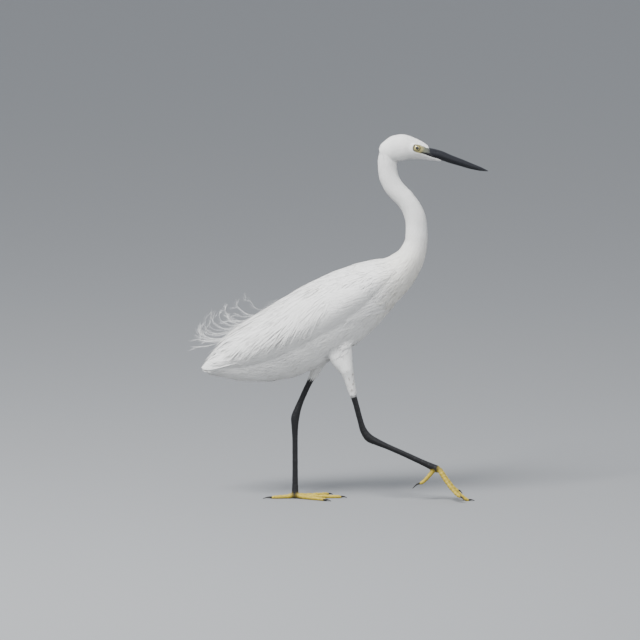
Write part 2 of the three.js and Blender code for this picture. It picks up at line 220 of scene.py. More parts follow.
def addRamp(material, stops):
    ramp = addNode(material, "ValToRGB")
    elements = ramp.color_ramp.elements
    while len(elements) < len(stops):
        elements.new(0.5)
    for element, (place, colour) in zip(elements, stops):
        element.position = place
        element.color = (*colour, 1)
    return ramp


def tinted(material, shader, colour, grain, low, high):
    # The base colour is the given one times a grey that the grain moves from low to high
    tint = addRamp(material, [(0.3, [low] * 3), (0.7, [high] * 3)])
    mix = addNode(material, "Mix", dict(data_type="RGBA", blend_type="MULTIPLY"), Factor=1)
    wire(material, (grain, "Fac", tint, "Fac"), (colour, "Color", mix, "A"), (tint, "Color", mix, "B"),
         (mix, "Result", shader, "Base Color"))
    return mix


def bumped(material, target, source, output, strength, distance):
    bump = addNode(material, "Bump", Strength=strength, Distance=distance)
    wire(material, (source, output, bump, "Height"), (bump, "Normal", target, "Normal"))
    return bump


def featherMaterial():
    # White vane: the tone attribute carries the markings and painted shade, slanting barbs on the vane's own
    # map are relief
    material, shader = newMaterial("plumageWhite", (0.9, 0.89, 0.86), 0.7, Sheen_Weight=0.2,
                                   Sheen_Roughness=0.5, Specular_IOR_Level=0.25)
    tone = addNode(material, "Attribute", dict(attribute_name="tone"))
    vane = addNode(material, "UVMap", dict(uv_map="vane"))
    grain = addNode(material, "TexNoise", Scale=9.0, Detail=3.0)
    barbs = addNode(material, "TexWave", dict(bands_direction="DIAGONAL"), Scale=11.0, Distortion=1.5)
    wire(material, (vane, "UV", grain, "Vector"), (vane, "UV", barbs, "Vector"))
    mix = tinted(material, shader, tone, grain, 0.93, 1.0)
    bumped(material, shader, barbs, "Fac", 0.25, 0.0002)
    # thin vanes let some light through
    through = addNode(material, "BsdfTranslucent")
    both = addNode(material, "MixShader", Fac=0.3)
    wire(material, (mix, "Result", through, "Color"), (shader, "BSDF", both, 1), (through, "BSDF", both, 2),
         (both, "Shader", material.node_tree.nodes["Material Output"], "Surface"))
    return material


def skinMaterial():
    material, shader = newMaterial("skin", (0.8, 0.78, 0.72), 0.45, Specular_IOR_Level=0.32)
    tone = addNode(material, "Attribute", dict(attribute_name="tone"))
    place = addNode(material, "TexCoord")
    blotch = addNode(material, "TexNoise", Scale=420.0, Detail=4.0)
    cells = addNode(material, "TexVoronoi", Scale=1300.0)
    # scutes across the bare legs, by the attribute that runs along them
    along = addNode(material, "Attribute", dict(attribute_name="legAlong"))
    beat = addNode(material, "Math", dict(operation="MULTIPLY"))
    beat.inputs[1].default_value = scuteBeat
    ring = addNode(material, "Math", dict(operation="SINE"))
    wire(material, (place, "Object", blotch, "Vector"), (place, "Object", cells, "Vector"),
         (along, "Fac", beat, 0), (beat, "Value", ring, 0))
    tinted(material, shader, tone, blotch, 0.78, 1.12)
    bump = bumped(material, shader, cells, "Distance", 0.35, 0.00015)
    bumped(material, bump, ring, "Value", 0.4, 0.0002)
    return material


def hornMaterial(name, dark, pale, gloss):
    # Horn: fine streaks along the piece, drawn on its own map
    material, shader = newMaterial(name, dark, gloss, Specular_IOR_Level=0.22)
    own = addNode(material, "UVMap", dict(uv_map="along"))
    stretch = addNode(material, "Mapping", Scale=(3.0, 40.0, 1.0))
    streaks = addNode(material, "TexNoise", Scale=2.0, Detail=5.0, Roughness=0.6)
    tint = addRamp(material, [(0.35, dark), (0.75, pale)])
    rough = addNode(material, "MapRange", To_Min=gloss - 0.06, To_Max=gloss + 0.16)
    wire(material, (own, "UV", stretch, "Vector"), (stretch, "Vector", streaks, "Vector"),
         (streaks, "Fac", tint, "Fac"), (tint, "Color", shader, "Base Color"),
         (streaks, "Fac", rough, "Value"), (rough, "Result", shader, "Roughness"))
    bumped(material, shader, streaks, "Fac", 0.2, 0.0002)
    return material


def eyeMaterial():
    # Pupil, iris and its dark rim by the angle from the middle of the eye, kept in the map's first axis
    material, shader = newMaterial("eyeWet", (0.7, 0.65, 0.3), 0.16, Coat_Weight=1.0, Coat_Roughness=0.03,
                                   Specular_IOR_Level=0.6)
    pupil, rim = (0.003, 0.003, 0.004), (0.03, 0.027, 0.02)
    own = addNode(material, "UVMap", dict(uv_map="along"))
    split = addNode(material, "SeparateXYZ")
    rings = addRamp(material, [
        (0.0, pupil), (0.245, pupil), (0.27, (0.26, 0.21, 0.05)), (0.33, (0.5, 0.42, 0.13)),
        (0.38, (0.42, 0.36, 0.11)), (0.43, rim), (0.52, rim), (0.58, (0.2, 0.175, 0.08))])
    flecks = addNode(material, "TexNoise", Scale=30.0, Detail=3.0)
    wire(material, (own, "UV", split, "Vector"), (split, "X", rings, "Fac"), (own, "UV", flecks, "Vector"))
    tinted(material, shader, rings, flecks, 0.8, 1.1)
    return material


plumageWhite = featherMaterial()
skinTone = skinMaterial()
billHorn = hornMaterial("billHorn", (0.005, 0.0055, 0.007), (0.02, 0.021, 0.026), 0.32)
clawHorn = hornMaterial("clawHorn", (0.008, 0.007, 0.006), (0.03, 0.027, 0.024), 0.32)
eyeWet = eyeMaterial()
print("materials made")

# Meshes


def addObject(name, data):
    made = bpy.data.objects.new(name, data)
    bpy.context.collection.objects.link(made)
    return made


def inMetres(points):
    # From the drawn millimetres to the frame's metres, as a flat array
    return ((points + np.array([frameShift, 0, 0])) * millimetre).astype(np.float32).ravel()


def addTone(mesh, colours):
    layer = mesh.color_attributes.new("tone", "FLOAT_COLOR", "POINT")
    full = np.concatenate([colours, np.ones((len(colours), 1))], axis=1)
    layer.data.foreach_set("color", full.astype(np.float32).ravel())


def buildMesh(name, points, corners, starts, maps=None, colours=None):
    # points in drawn millimetres; corners and starts list the faces as flat arrays
    mesh = bpy.data.meshes.new(name)
    mesh.vertices.add(len(points))
    mesh.vertices.foreach_set("co", inMetres(points))
    mesh.loops.add(len(corners))
    mesh.loops.foreach_set("vertex_index", corners.astype(np.int32))
    mesh.polygons.add(len(starts))
    mesh.polygons.foreach_set("loop_start", starts.astype(np.int32))
    mesh.update(calc_edges=True)
    for mapName, coords in (maps or {}).items():
        layer = mesh.uv_layers.new(name=mapName)
        layer.data.foreach_set("uv", coords[corners].astype(np.float32).ravel())
    if colours is not None:
        addTone(mesh, colours)
    mesh.shade_smooth()
    return addObject(name, mesh)


def gridFaces(rings, around):
    # Quads of a closed tube of rings, then a fan of triangles to a pole at each end
    ring, side = crossed(np.arange(rings - 1), np.arange(around))
    after = (side + 1) % around
    quads = np.stack([ring * around + side, ring * around + after,
                      (ring + 1) * around + after, (ring + 1) * around + side], -1).reshape(-1, 4)
    k = np.arange(around)
    pole, base = rings * around, (rings - 1) * around
    startFan = np.stack([np.full(around, pole), (k + 1) % around, k], -1)
    endFan = np.stack([np.full(around, pole + 1), base + k, base + (k + 1) % around], -1)
    corners = np.concatenate([quads.ravel(), startFan.ravel(), endFan.ravel()])
    return corners, np.append(np.arange(len(quads)) * 4, len(quads) * 4 + np.arange(2 * around) * 3)


def facesOutward(points, corners, starts):
    # Turns every face round when the volume, a sum of the wedges from the origin, is negative
    sizes = np.diff(np.append(starts, len(corners)))

    def wedges(first, second, third):
        a, b, c = (points[corners[first + k]] for k in (0, second, third))
        return np.einsum("ij,ij->i", a, np.cross(b, c)).sum()

    if wedges(starts, 1, 2) + wedges(starts[sizes == 4], 2, 3) >= 0:
        return corners
    turned = corners.copy()
    for size in (3, 4):
        where = starts[sizes == size][:, None] + np.arange(size)
        turned[where] = corners[where[:, ::-1]]
    return turned


def closedTube(grid):
    # A grid of rings (rings, around, 3) closed by poles: returns points, corners, starts
    points = np.concatenate([grid.reshape(-1, 3), [grid[0].mean(0)], [grid[-1].mean(0)]])
    corners, starts = gridFaces(*grid.shape[:2])
    return points, facesOutward(points, corners, starts), starts


def buildTube(name, grid, own, poles):
    # A closed tube whose map, called along, is own over the grid and poles at its two ends
    own = np.concatenate([np.stack(own, -1).reshape(-1, 2), poles])
    return buildMesh(name, *closedTube(grid), dict(along=own))


def joinShells(shells):
    points, corners, starts = zip(*shells)
    pointsBefore, cornersBefore = (np.append(0, np.cumsum([len(part) for part in parts]))
                                   for parts in (points, corners))
    return (np.concatenate(points), np.concatenate([part + k for part, k in zip(corners, pointsBefore)]),
            np.concatenate([part + k for part, k in zip(starts, cornersBefore)]))


def finishPiece(piece, material, slot, *nodes):
    piece.data.materials.append(material)
    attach(piece, "root")
    if nodes:
        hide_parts(*nodes)
    return piece


def sided(name, hand):
    return name + sideNames[hand].title()


# Markings and painted shade shared by the skin and the coat: colour as a function of place

# shade is painted shade: the bluish grey of white plumage in shadow
tones = dict(
    white=(0.95, 0.945, 0.925), shade=(0.80, 0.82, 0.83), cream=(0.93, 0.89, 0.78),
    lores=(0.115, 0.12, 0.085), slate=(0.05, 0.053, 0.057), eyeSkin=(0.26, 0.225, 0.095),
    black=(0.006, 0.006, 0.007), toe=(0.50, 0.36, 0.02), toeDark=(0.16, 0.14, 0.05), mud=(0.42, 0.38, 0.32),
)
mudSpots = np.array([[43, 176, 1.6], [38, 169, 1.2], [43, 162, 1.5], [41.5, 154, 1.7], [46, 150, 1.2],
                     [34, 181, 1.0], [47, 170, 0.9], [44.5, 166.5, 0.8], [39, 158, 0.9]])
faceEdges = dict(x=[121, 126, 132, 140, 147, 152], upper=[475.5, 479.3, 478.6, 475.2, 472.0, 469],
                 lower=[473, 469.3, 467.3, 465.3, 462.8, 461.5])


def blend(base, colour, share):
    return base + (np.array(colour) - base) * np.asarray(share)[..., None]


def plainTone(count, share=1.0, name="white"):
    return np.tile(np.array(tones[name]) * share, (count, 1))


def plumageTone(points):
    # White, a little cream on the breast, painted bluish shade under the rump, mud spots on the right thigh
    x, y, z = points[..., 0], points[..., 1], points[..., 2]
    tone = np.broadcast_to(np.array(tones["white"]), points.shape).copy()
    front = smoothStep(x, 75, 115) * smoothStep(z, 375, 330) * smoothStep(z, 215, 260)
    tone = blend(tone, tones["cream"], 0.38 * front)
    # painted shade: the underside of the rump's rear is greyer, where it would lie in shadow
    tone = blend(tone, tones["shade"], 0.5 * smoothStep(x, -118, -150) * smoothStep(z, 215, 190))
    reach = np.hypot(x[..., None] - mudSpots[:, 0], z[..., None] - mudSpots[:, 1]) / mudSpots[:, 2]
    spots = (1 - smoothStep(reach, 0.6, 1.4)).max(-1) * (y < 0)
    return blend(tone, tones["mud"], 0.7 * spots)


def faceBare(points, margin=0.0):
    # 1 on the bare skin between eye and bill, from the lid's rear edge to the bill's root, and 0 off it;
    # a margin in mm softens its edge outwards
    x, z = points[..., 0], points[..., 2]
    upper, lower = (np.interp(x, faceEdges["x"], faceEdges[side]) for side in ("upper", "lower"))
    above = smoothStep(z, lower - 0.8 - margin, lower + 0.6)
    below = 1 - smoothStep(z, upper - 0.6, upper + 0.8 + margin)
    return above * below * smoothStep(x, 122.6 - margin, 124.2)


def skinColour(points):
    tone = plumageTone(points) * 0.97
    bare = faceBare(points)
    # yellowish by the eye, greener ahead of it, slate at the bill, and a black wedge along the gape
    x, z = points[..., 0], points[..., 2]
    ahead = blend(np.broadcast_to(np.array(tones["lores"]), points.shape), tones["slate"],
                  smoothStep(x, 137, 149))
    tone = lerp(tone, ahead, bare[..., None])
    eyeReach = np.hypot(x - eyeSettings["x"] - 1.0, z - eyeSettings["z"])
    tone = blend(tone, tones["eyeSkin"], bare * (1 - smoothStep(eyeReach, 5.5, 9.5)))
    # painted shade: a dark arc behind the lid, where the lid shades the skin
    off = np.hypot(x - eyeSettings["x"], z - eyeSettings["z"])
    behind = smoothStep((eyeSettings["x"] - x) / np.maximum(off, 0.1), 0.2, 0.7)
    tone = blend(tone, (0.02, 0.02, 0.016), np.exp(-((off - 4.9) / 0.8) ** 2) * behind)
    gape = np.interp(x, *np.transpose(gapeRows))
    wedge = np.interp(x, [132, 136, 146, 152], [0.0, 0.5, 2.4, 3.0])
    black = smoothStep(x, 132, 134) * (1 - smoothStep(np.abs(z - gape), wedge, wedge + 0.5))
    return blend(tone, tones["black"], black)


# One skin: closed lofts a coat's depth inside the solids, melted together by a voxel remesh

toeSettings = dict(base=2.9, tip=2.0, start=3.6, flat=0.35, rise=1.6, riseShare=0.3, pads=4,
                   swelling=0.14, curve=1.15, tipHeight=1.15, rows=10)
toeNames = dict(middle=(2, 57, 9), inner=(-29, 43, 8.5), outer=(30, 47, 8), hallux=(186, 27, 13))
clawSettings = dict(base=1.55, tip=0.35, arch=0.7, clearance=0.5, slope=0.55, slim=0.8, pinch=0.25,
                    lowest=0.02)


def toeRows(hand, heading, length):
    # Straight ahead from the foot joint at its heading: on the floor it drops from the joint to its own
    # radius, and a lifted foot's toes fall in a slow curve until the middle one touches the floor
    t = toeSettings
    joint = legPaths[hand]["line"][-1]
    turn = math.radians(heading)
    ahead = np.array([math.cos(turn), hand * math.sin(turn)])
    share = np.arange(t["rows"] + 1) / t["rows"]
    pads = 1 + t["swelling"] * np.abs(np.sin(t["pads"] * np.pi * share))
    radius = lerp(t["base"], t["tip"], share) * pads
    if joint[2] > 2 * (t["base"] - t["flat"]):
        fall = (joint[2] - t["tipHeight"]) * length / toeNames["middle"][1]
        height = joint[2] - fall * (1 - (1 - share) ** t["curve"])
    else:
        height = radius - t["flat"] + t["rise"] * np.maximum(1 - share / t["riseShare"], 0) ** 2
    rise = np.diff(height)
    reach = t["start"] + np.append(0, np.cumsum(np.sqrt((length / t["rows"]) ** 2 - rise ** 2)))
    return np.stack([joint[0] + ahead[0] * reach, joint[1] + ahead[1] * reach, height, radius, radius], -1)


def clawRows(rows, length, count=14):
    c = clawSettings
    before, end = rows[-2, :3], rows[-1, :3]
    ahead = unit((end - before) * np.array([1, 1, 0]))
    fall = min(end[2] - c["clearance"], length * c["slope"])
    share = np.linspace(0, 1, count)[:, None]
    place = end + ahead * math.sqrt(length ** 2 - fall ** 2) * share
    place[:, 2:] += c["arch"] * np.sin(np.pi * share) - fall * share ** 1.5
    radius = lerp(c["base"], c["tip"], share)
    return np.concatenate([place, radius, radius * c["slim"]], 1)


toePaths = {(name, hand): makePath(toeRows(hand, heading, length))
            for name, (heading, length, claw) in toeNames.items() for hand in (-1, 1)}

coatDepth = dict(head=1.2, neck=2.3, body=4.2, wings=5.2, thigh=2.0)


def spineDepth(u, v):
    # how far the skin lies under the solids: thin on the neck, deepest on the body, thin at the tail
    d = lerp(1.6, coatDepth["neck"], smoothStep(u, 0, 2))
    d = lerp(d, coatDepth["body"], smoothStep(u, 8.5, 13))
    return -lerp(d, 3.5, smoothStep(u, 20, 23))


def headDepth(u, v):
    # none where the face is bare, thin behind it, a little more under the forehead's short feathers
    place = headSurface(u, v)
    d = coatDepth["head"] * (1 - 0.5 * smoothStep(u, 10, 10.8))
    forehead = smoothStep(place[..., 0], 116, 128) * smoothStep(np.cos(v), 0.2, 0.7)
    nape = smoothStep(place[..., 0], 96, 84)
    atBill = smoothStep(place[..., 0], 143, 148) * smoothStep(np.cos(v), 0.2, 0.7)
    return -(d + 0.8 * forehead + 1.0 * nape) * (1 - faceBare(place, 4.5)) - 0.15 - 1.7 * atBill


def legDepth(hand):
    # the top of the thigh sinks into the flank, on its outer side and at its rear
    def depthAt(u, v):
        sunk = np.interp(u, [0.6, 1.5, 2.1, 2.9], [8.5, 8.0, 4.5, 0]) * np.maximum(hand * np.sin(v), 0)
        sunk = sunk + 3.0 * (1 - smoothStep(u, 1.0, 2.0)) * np.maximum(-np.cos(v), 0)
        return -sunk - coatDepth["thigh"] * (1 - smoothStep(u, 3.6, 5.1))
    return depthAt


def pathTube(path, rows, around, height=0.0, **shape):
    u, v = crossed(rows, aroundRing(around))
    return loftPoint(path, u, v, height(u, v) if callable(height) else height, **shape)


def ballGrid(centre, radius, count=16):
    lat, lon = crossed(np.linspace(0.12, np.pi - 0.12, count), aroundRing(2 * count))
    spread = np.stack([np.sin(lat) * np.cos(lon), np.sin(lat) * np.sin(lon), np.cos(lat)], -1)
    return np.asarray(centre) + radius * spread


def skinShells():
    grids = [
        pathTube(spinePath, np.linspace(0, 23, 320), 120, spineDepth, keel=keel),
        pathTube(wingedPath, np.linspace(11.2, 22.6, 160), 120, -coatDepth["wings"], keel=keel,
                 lift=wing["lift"]),
        pathTube(headPath, np.linspace(0, 10.9, 160), 96, headDepth),
    ]
    for hand, path in legPaths.items():
        grids.append(pathTube(path, np.linspace(0.2, path["last"], 260), 48, legDepth(hand)))
        grids.append(ballGrid(path["line"][-1], 4.9))
    for path in toePaths.values():
        grids.append(pathTube(path, np.linspace(0, path["last"], 90), 32))
        grids.append(ballGrid(path["line"][-1], 1.9, 10))
    return grids


def smoothMesh(points, edges, strength, rounds):
    # Each point moves towards the mean of its neighbours by its own strength, then nearly as far back
    # out, so that creases melt without the legs growing thinner
    count = np.bincount(edges.ravel(), minlength=len(points))[:, None]
    for _ in range(rounds):
        for sign in (1.0, -0.96):
            total = np.zeros_like(points)
            for axis in range(3):
                total[:, axis] = (np.bincount(edges[:, 0], points[edges[:, 1], axis], len(points))
                                  + np.bincount(edges[:, 1], points[edges[:, 0], axis], len(points)))
            points = points + sign * strength[:, None] * (total / np.maximum(count, 1) - points)
    return points


def meshPoints(mesh):
    flat = np.empty(len(mesh.vertices) * 3, np.float32)
    mesh.vertices.foreach_get("co", flat)
    return flat.reshape(-1, 3).astype(float) * metre - np.array([frameShift, 0, 0])


def placePoints(mesh, points):
    mesh.vertices.foreach_set("co", inMetres(points))
    mesh.update()


def applyModifiers(piece):
    # The modifiers' result becomes the piece's own mesh
    graph = bpy.context.evaluated_depsgraph_get()
    made = bpy.data.meshes.new_from_object(piece.evaluated_get(graph), depsgraph=graph)
    piece.modifiers.clear()
    old = piece.data
    piece.data = made
    made.name = old.name + "Made"
    bpy.data.meshes.remove(old)


def nearestOf(points, line):
    # For each point the index of the line's nearest one, and how far away that is
    best = np.full(len(points), np.inf)
    found = np.zeros(len(points), int)
    for k, place in enumerate(line):
        gap = np.linalg.norm(points - place, axis=1)
        closer = gap < best
        best[closer], found[closer] = gap[closer], k
    return found, best


def legNearness(points, path, samples=400):
    # Nearest row of a path for each point, and the distance as a share of the path's half depth there
    rows = np.linspace(0, path["last"], samples)[::4]
    near, gap = nearestOf(points, splineAt(path["line"], rows))
    return rows[near], gap / splineAt(path["sizes"], rows[near])[:, 0]


# voxels in metres, swellings and the lowest point in mm
skinSettings = dict(voxel=0.00075, quickVoxel=0.0009, triangles=170000, rounds=(14, 70), padSwell=0.2,
                    scuteSwell=0.05, lowest=0.03, toeShade=0.3, blackBelow=140, legTop=215, footTop=62)
fleshNodes = ["head", "neck_upper", "neck_middle", "neck_lower", "neck_root", "trunk", "tail"]


def smoothSkin(mesh):
    # Strong smoothing where the neck meets the head and the thighs meet the belly, light elsewhere
    edges = np.empty(len(mesh.edges) * 2, np.int32)
    mesh.edges.foreach_get("vertices", edges)
    edges = edges.reshape(-1, 2)
    points = meshPoints(mesh)
    x, z = points[:, 0], points[:, 2]
    throat = np.exp(-((x - 98) ** 2 + (z - 456) ** 2) / 260)
    hips = smoothStep(z, 176, 196) * smoothStep(z, 330, 300)
    face = smoothStep(x, 112, 122) * smoothStep(z, 440, 455)
    light = np.clip(0.35 + 0.3 * throat + 0.25 * hips - 0.15 * face, 0.1, 0.65)
    strong = np.clip(1.2 * throat + 0.9 * hips, 0, 0.6)
    for strength, rounds in zip((light, strong), skinSettings["rounds"]):
        points = smoothMesh(points, edges, strength, rounds)
    placePoints(mesh, points)


def makeSkin():
    s = skinSettings
    skin = buildMesh("skinRaw", *joinShells([closedTube(grid) for grid in skinShells()]))
    skin.name = "skin"
    remesh = skin.modifiers.new("melt", "REMESH")
    remesh.mode = "VOXEL"
    remesh.voxel_size = s["voxel"]
    remesh.use_smooth_shade = True
    applyModifiers(skin)
    smoothSkin(skin.data)
    thin = skin.modifiers.new("thin", "DECIMATE")
    thin.ratio = min(1.0, s["triangles"] / (2 * len(skin.data.polygons)))
    applyModifiers(skin)
    mesh = skin.data
    mesh.shade_smooth()
    points = meshPoints(mesh)
    tone = skinColour(points)
    tone[points[:, 2] < s["blackBelow"]] = tones["black"]
    along = np.zeros(len(points))
    swell = np.zeros(len(points))
    for hand, path in legPaths.items():
        near = (points[:, 2] < s["legTop"]) & (points[:, 1] * hand > -3)
        row, share = legNearness(points[near], path)
        bare = smoothStep(row, 5.0, 5.5) * (share < 2.2)
        tone[near] = blend(tone[near], tones["black"], bare)
        along[near] = np.maximum(along[near], bare * row)
    toeColour = lerp(np.array(tones["toe"]), np.array(tones["toeDark"]), s["toeShade"])
    for (name, hand), path in toePaths.items():
        near = (points[:, 2] < s["footTop"]) & (points[:, 1] * hand > -14)
        row, share = legNearness(points[near], path, 200)
        toe = (1 - smoothStep(share, 1.35, 1.9)) * smoothStep(row, -0.6, 1.2)
        tone[near] = blend(tone[near], toeColour, toe)
        along[near] = np.where(toe > 0.5, 20 + row, along[near])
        # toe pads swell between the joints, half a row from each
        swell[near] = np.where(toe > 0.3, -s["padSwell"] * np.cos(2 * np.pi * row) * toe, swell[near])
    # scutes: rings round the bare legs and toes
    swell += s["scuteSwell"] * np.sin(scuteBeat * along) * (along > 0)
    outward = np.empty(len(points) * 3, np.float32)
    mesh.vertices.foreach_get("normal", outward)
    pushed = points + outward.reshape(-1, 3) * swell[:, None]
    pushed[:, 2] = np.maximum(pushed[:, 2], s["lowest"])
    placePoints(mesh, pushed)
    addTone(mesh, tone)
    layer = mesh.attributes.new("legAlong", "FLOAT", "POINT")
    layer.data.foreach_set("value", along.astype(np.float32))
    toes = [f"toe_{name}_{sideNames[hand]}" for name, hand in toePaths]
    legs = [f"{part}_{side}" for part in ("wing", "thigh", "shank", "tarsus") for side in ("left", "right")]
    finishPiece(skin, skinTone, "legs", *fleshNodes, *legs, *toes)
    print("skin", len(mesh.vertices), "points")
    return skin


skin = makeSkin()


def onSkin(points):
    # Lays points on the skin by a Shrinkwrap, once flat and once a millimetre out: foot and way up
    laid = []
    for offset in (0.0, 0.001):
        mesh = bpy.data.meshes.new("cloud")
        mesh.vertices.add(len(points))
        placePoints(mesh, points)
        cloud = addObject("cloud", mesh)
        wrap = cloud.modifiers.new("wrap", "SHRINKWRAP")
        wrap.target = skin
        wrap.wrap_method = "NEAREST_SURFACEPOINT"
        wrap.wrap_mode = "ABOVE_SURFACE"
        wrap.offset = offset
        graph = bpy.context.evaluated_depsgraph_get()
        laid.append(meshPoints(cloud.evaluated_get(graph).data))
        bpy.data.objects.remove(cloud)
        bpy.data.meshes.remove(mesh)
    return laid[0], unit(laid[1] - laid[0])


def laidWell(foot, up, step):
    # Feathers whose stations kept their spacing and didn't fold over a crease
    spread = np.linalg.norm(np.diff(foot, axis=1), axis=2) / np.maximum(step, 1e-6)
    turned = (up[:, 1:] * up[:, :-1]).sum(-1)
    return (spread > 0.12).all(1) & (spread < 3.0).all(1) & (turned > 0.1).all(1)


# Feathers: every one is a closed blade whose stations are laid on the skin


def scatter(surface, uRange, spacing, seed, keep, jitter):
    # Rings an equal gap apart along the surface, each with as many roots as its girth has room for
    rng = np.random.default_rng(seed)
    probe = np.linspace(*uRange, 500)
    ring = surface(probe[:, None], aroundRing(60)[None])
    girth = np.linalg.norm(ring - np.roll(ring, 1, 1), axis=2).sum(1)
    gapAlong, gapAround = spacing(probe)
    step = np.linalg.norm(np.diff(ring.mean(1), axis=0), axis=1)
    travelled = np.append(0, np.cumsum(step / (0.5 * (gapAlong[1:] + gapAlong[:-1]))))
    rootU, rootV = [], []
    for k, row in enumerate(np.interp(np.arange(0, travelled[-1]), travelled, probe)):
        count = max(6, round(float(np.interp(row, probe, girth / gapAround))))
        place = (np.arange(count) + 0.5 * (k % 2) + rng.uniform(-jitter, jitter, count)) / count
        slope = float(np.interp(row, probe, np.gradient(probe, travelled)))
        rootU.append(row + slope * rng.uniform(-jitter, jitter, count))
        rootV.append(place * 2 * np.pi)
    u, v = np.clip(np.concatenate(rootU), *uRange), np.concatenate(rootV)
    kept = keep(u, v, surface(u, v), rng)
    return u[kept], v[kept]


def stepsAlong(surface, u, v, heading):
    # Parameter steps that move one millimetre along the surface in the heading: the heading is
    # written as a sum of the surface's two slopes, by least squares
    e = 0.02
    here = surface(u, v)
    slopeU = (surface(u + e, v) - here) / e
    slopeV = (surface(u, v + e) - here) / e
    a, b, c = ((slopeU * slopeU).sum(-1), (slopeU * slopeV).sum(-1), (slopeV * slopeV).sum(-1))
    f, g = (slopeU * heading).sum(-1), (slopeV * heading).sum(-1)
    size = np.maximum(a * c - b * b, 1e-6)
    du, dv = (c * f - b * g) / size, (a * g - b * f) / size
    length = np.linalg.norm(slopeU * du[:, None] + slopeV * dv[:, None], axis=1)
    return du / np.maximum(length, 0.05), dv / np.maximum(length, 0.05)


def clumps(points, size, seed):
    # Soft lumps: a sum of sines in random directions with waves about size long, from -1 to 1
    rng = np.random.default_rng(seed)
    wave = unit(rng.normal(size=(7, 3))) * (2 * np.pi / size) * rng.uniform(0.6, 1.5, (7, 1))
    return np.sin(points @ wave.T + rng.uniform(0, 6.28, 7)).sum(-1) / 4


def bladeFaces(stations, across):
    # Faces of one blade: a top of quads, one strip underneath, a fan at the tip and a cap at the root
    faces, under = [], []
    for k in range(stations - 2):
        a, b = k * across, (k + 1) * across
        faces += [(a + m, b + m, b + m + 1, a + m + 1) for m in range(across - 1)]
        faces.append((a, a + across - 1, b + across - 1, b))
        under += [False] * (across - 1) + [True]
    a = (stations - 2) * across
    tip = a + across
    faces += [(a + m, tip, a + m + 1) for m in range(across - 1)]
    faces += [(a, a + across - 1, tip), tuple(range(across))]
    under += [False] * (across - 1) + [True, True]
    return faces, under


def makeFeathers(name, foot, up, shape, lengths, widths, heights, rootUv, tone, shade, rounding, *nodes):
    # foot, up: (feathers, stations, 3). The blade's middle stands heights over the foot. Its width is
    # the shape's share of widths, and its edges hang a little under the crowned middle.
    number, stations = foot.shape[:2]
    across = shape["across"]
    spread = np.linspace(-1, 1, across)
    centre = foot + up * heights[..., None]
    along = unit(np.gradient(centre, axis=1))
    side = unit(np.cross(up, along))
    top = unit(np.cross(along, side))
    share = np.asarray(shape["width"])
    half = 0.5 * widths[:, None] * share[None]
    crown = shape["crown"] * widths[:, None] * (0.35 + 0.65 * share[None])
    body = slice(0, stations - 1)
    points = (centre[:, body, None] + side[:, body, None] * (half[:, body, None] * spread)[..., None]
              + top[:, body, None] * (crown[:, body, None] * (1 - spread ** 2))[..., None])
    tips = centre[:, -1:]
    points = np.concatenate([points.reshape(number, -1, 3), tips], 1)
    perFeather = points.shape[1]
    faces, under = bladeFaces(stations, across)
    sizes = np.array([len(face) for face in faces])
    template = np.concatenate(faces)
    underCorner = np.repeat(under, sizes)
    corners = (template[None] + perFeather * np.arange(number)[:, None]).ravel()
    firsts = np.append(0, np.cumsum(sizes))[:-1]
    starts = (firsts[None] + len(template) * np.arange(number)[:, None]).ravel()
    # normals: the skin's own way up leaning out towards the edges, and straight down underneath
    lean = unit(up[:, body, None] + side[:, body, None] * (rounding * spread)[:, None])
    normal = np.concatenate([lean.reshape(number, -1, 3), up[:, -1:]], 1)
    cornerNormal = normal.reshape(-1, 3)[corners]
    below = np.tile(underCorner, number)
    cornerNormal[below] = -np.repeat(up[:, stations // 2], underCorner.sum(), axis=0)
    # maps: a small patch at the root's place, and one in centimetres for the barbs
    s = np.append(np.repeat(shape["at"][:-1], across), 1.0)
    t = np.append(np.tile(spread, stations - 1), 0.0)
    narrow = np.maximum(np.append(np.repeat(share[:-1], across), 0.0), 0.15)
    bake = rootUv[:, None] + 0.003 * np.stack([s - 0.5, 0.5 * t * narrow], -1)[None]
    halfAt = np.concatenate([np.repeat(half[:, body], across, axis=1), half[:, -1:] * 0], 1)
    vane = np.stack([np.abs(t)[None] * halfAt * 0.1, s[None] * lengths[:, None] * 0.1
                     + np.arange(number)[:, None] % 7], -1)
    # painted shade: each feather is darker towards its root, where the feathers over it would shade it
    rootShade = 1 - shade * (1 - s[None, :, None]) ** 1.5
    colour = (tone[:, None] * rootShade).reshape(-1, 3)
    piece = buildMesh(name, points.reshape(-1, 3), corners, starts,
                      dict(OFBake=bake.reshape(-1, 2), vane=vane.reshape(-1, 2)), colour)
    piece.data.normals_split_custom_set(cornerNormal)
    print(name, number, "feathers,", int((sizes - 2).sum()) * number, "triangles")
    return finishPiece(piece, plumageWhite, "plumage", *nodes)


shapes = dict(
    small=dict(at=(0, 0.38, 0.74, 1), width=(0.5, 1.0, 0.72, 0), across=3, crown=0.10),
    lance=dict(at=(0, 0.2, 0.42, 0.64, 0.84, 1), width=(0.45, 0.85, 1.0, 0.8, 0.42, 0), across=3, crown=0.10),
    vane=dict(at=(0, 0.25, 0.5, 0.72, 0.87, 0.96, 1), width=(0.4, 0.85, 1.0, 0.97, 0.8, 0.45, 0), across=5,
              crown=0.06),
    quill=dict(at=(0, 0.15, 0.35, 0.55, 0.75, 0.88, 0.96, 1),
               width=(0.35, 0.8, 0.95, 1.0, 0.95, 0.8, 0.45, 0), across=5, crown=0.045),
)


def layFeathers(name, guide, shape, length, width, heights, rootUv, tone, shade, rounding):
    # Lays each guide on the skin and builds the feathers that lie well there
    foot, up = onSkin(guide.reshape(-1, 3))
    foot, up = foot.reshape(guide.shape), up.reshape(guide.shape)
    well = laidWell(foot, up, length[:, None] * np.diff(shape["at"]))
    kept = [part[well] for part in (length, width, heights, rootUv, tone)]
    makeFeathers(name, foot[well], up[well], shape, *kept, shade, rounding)


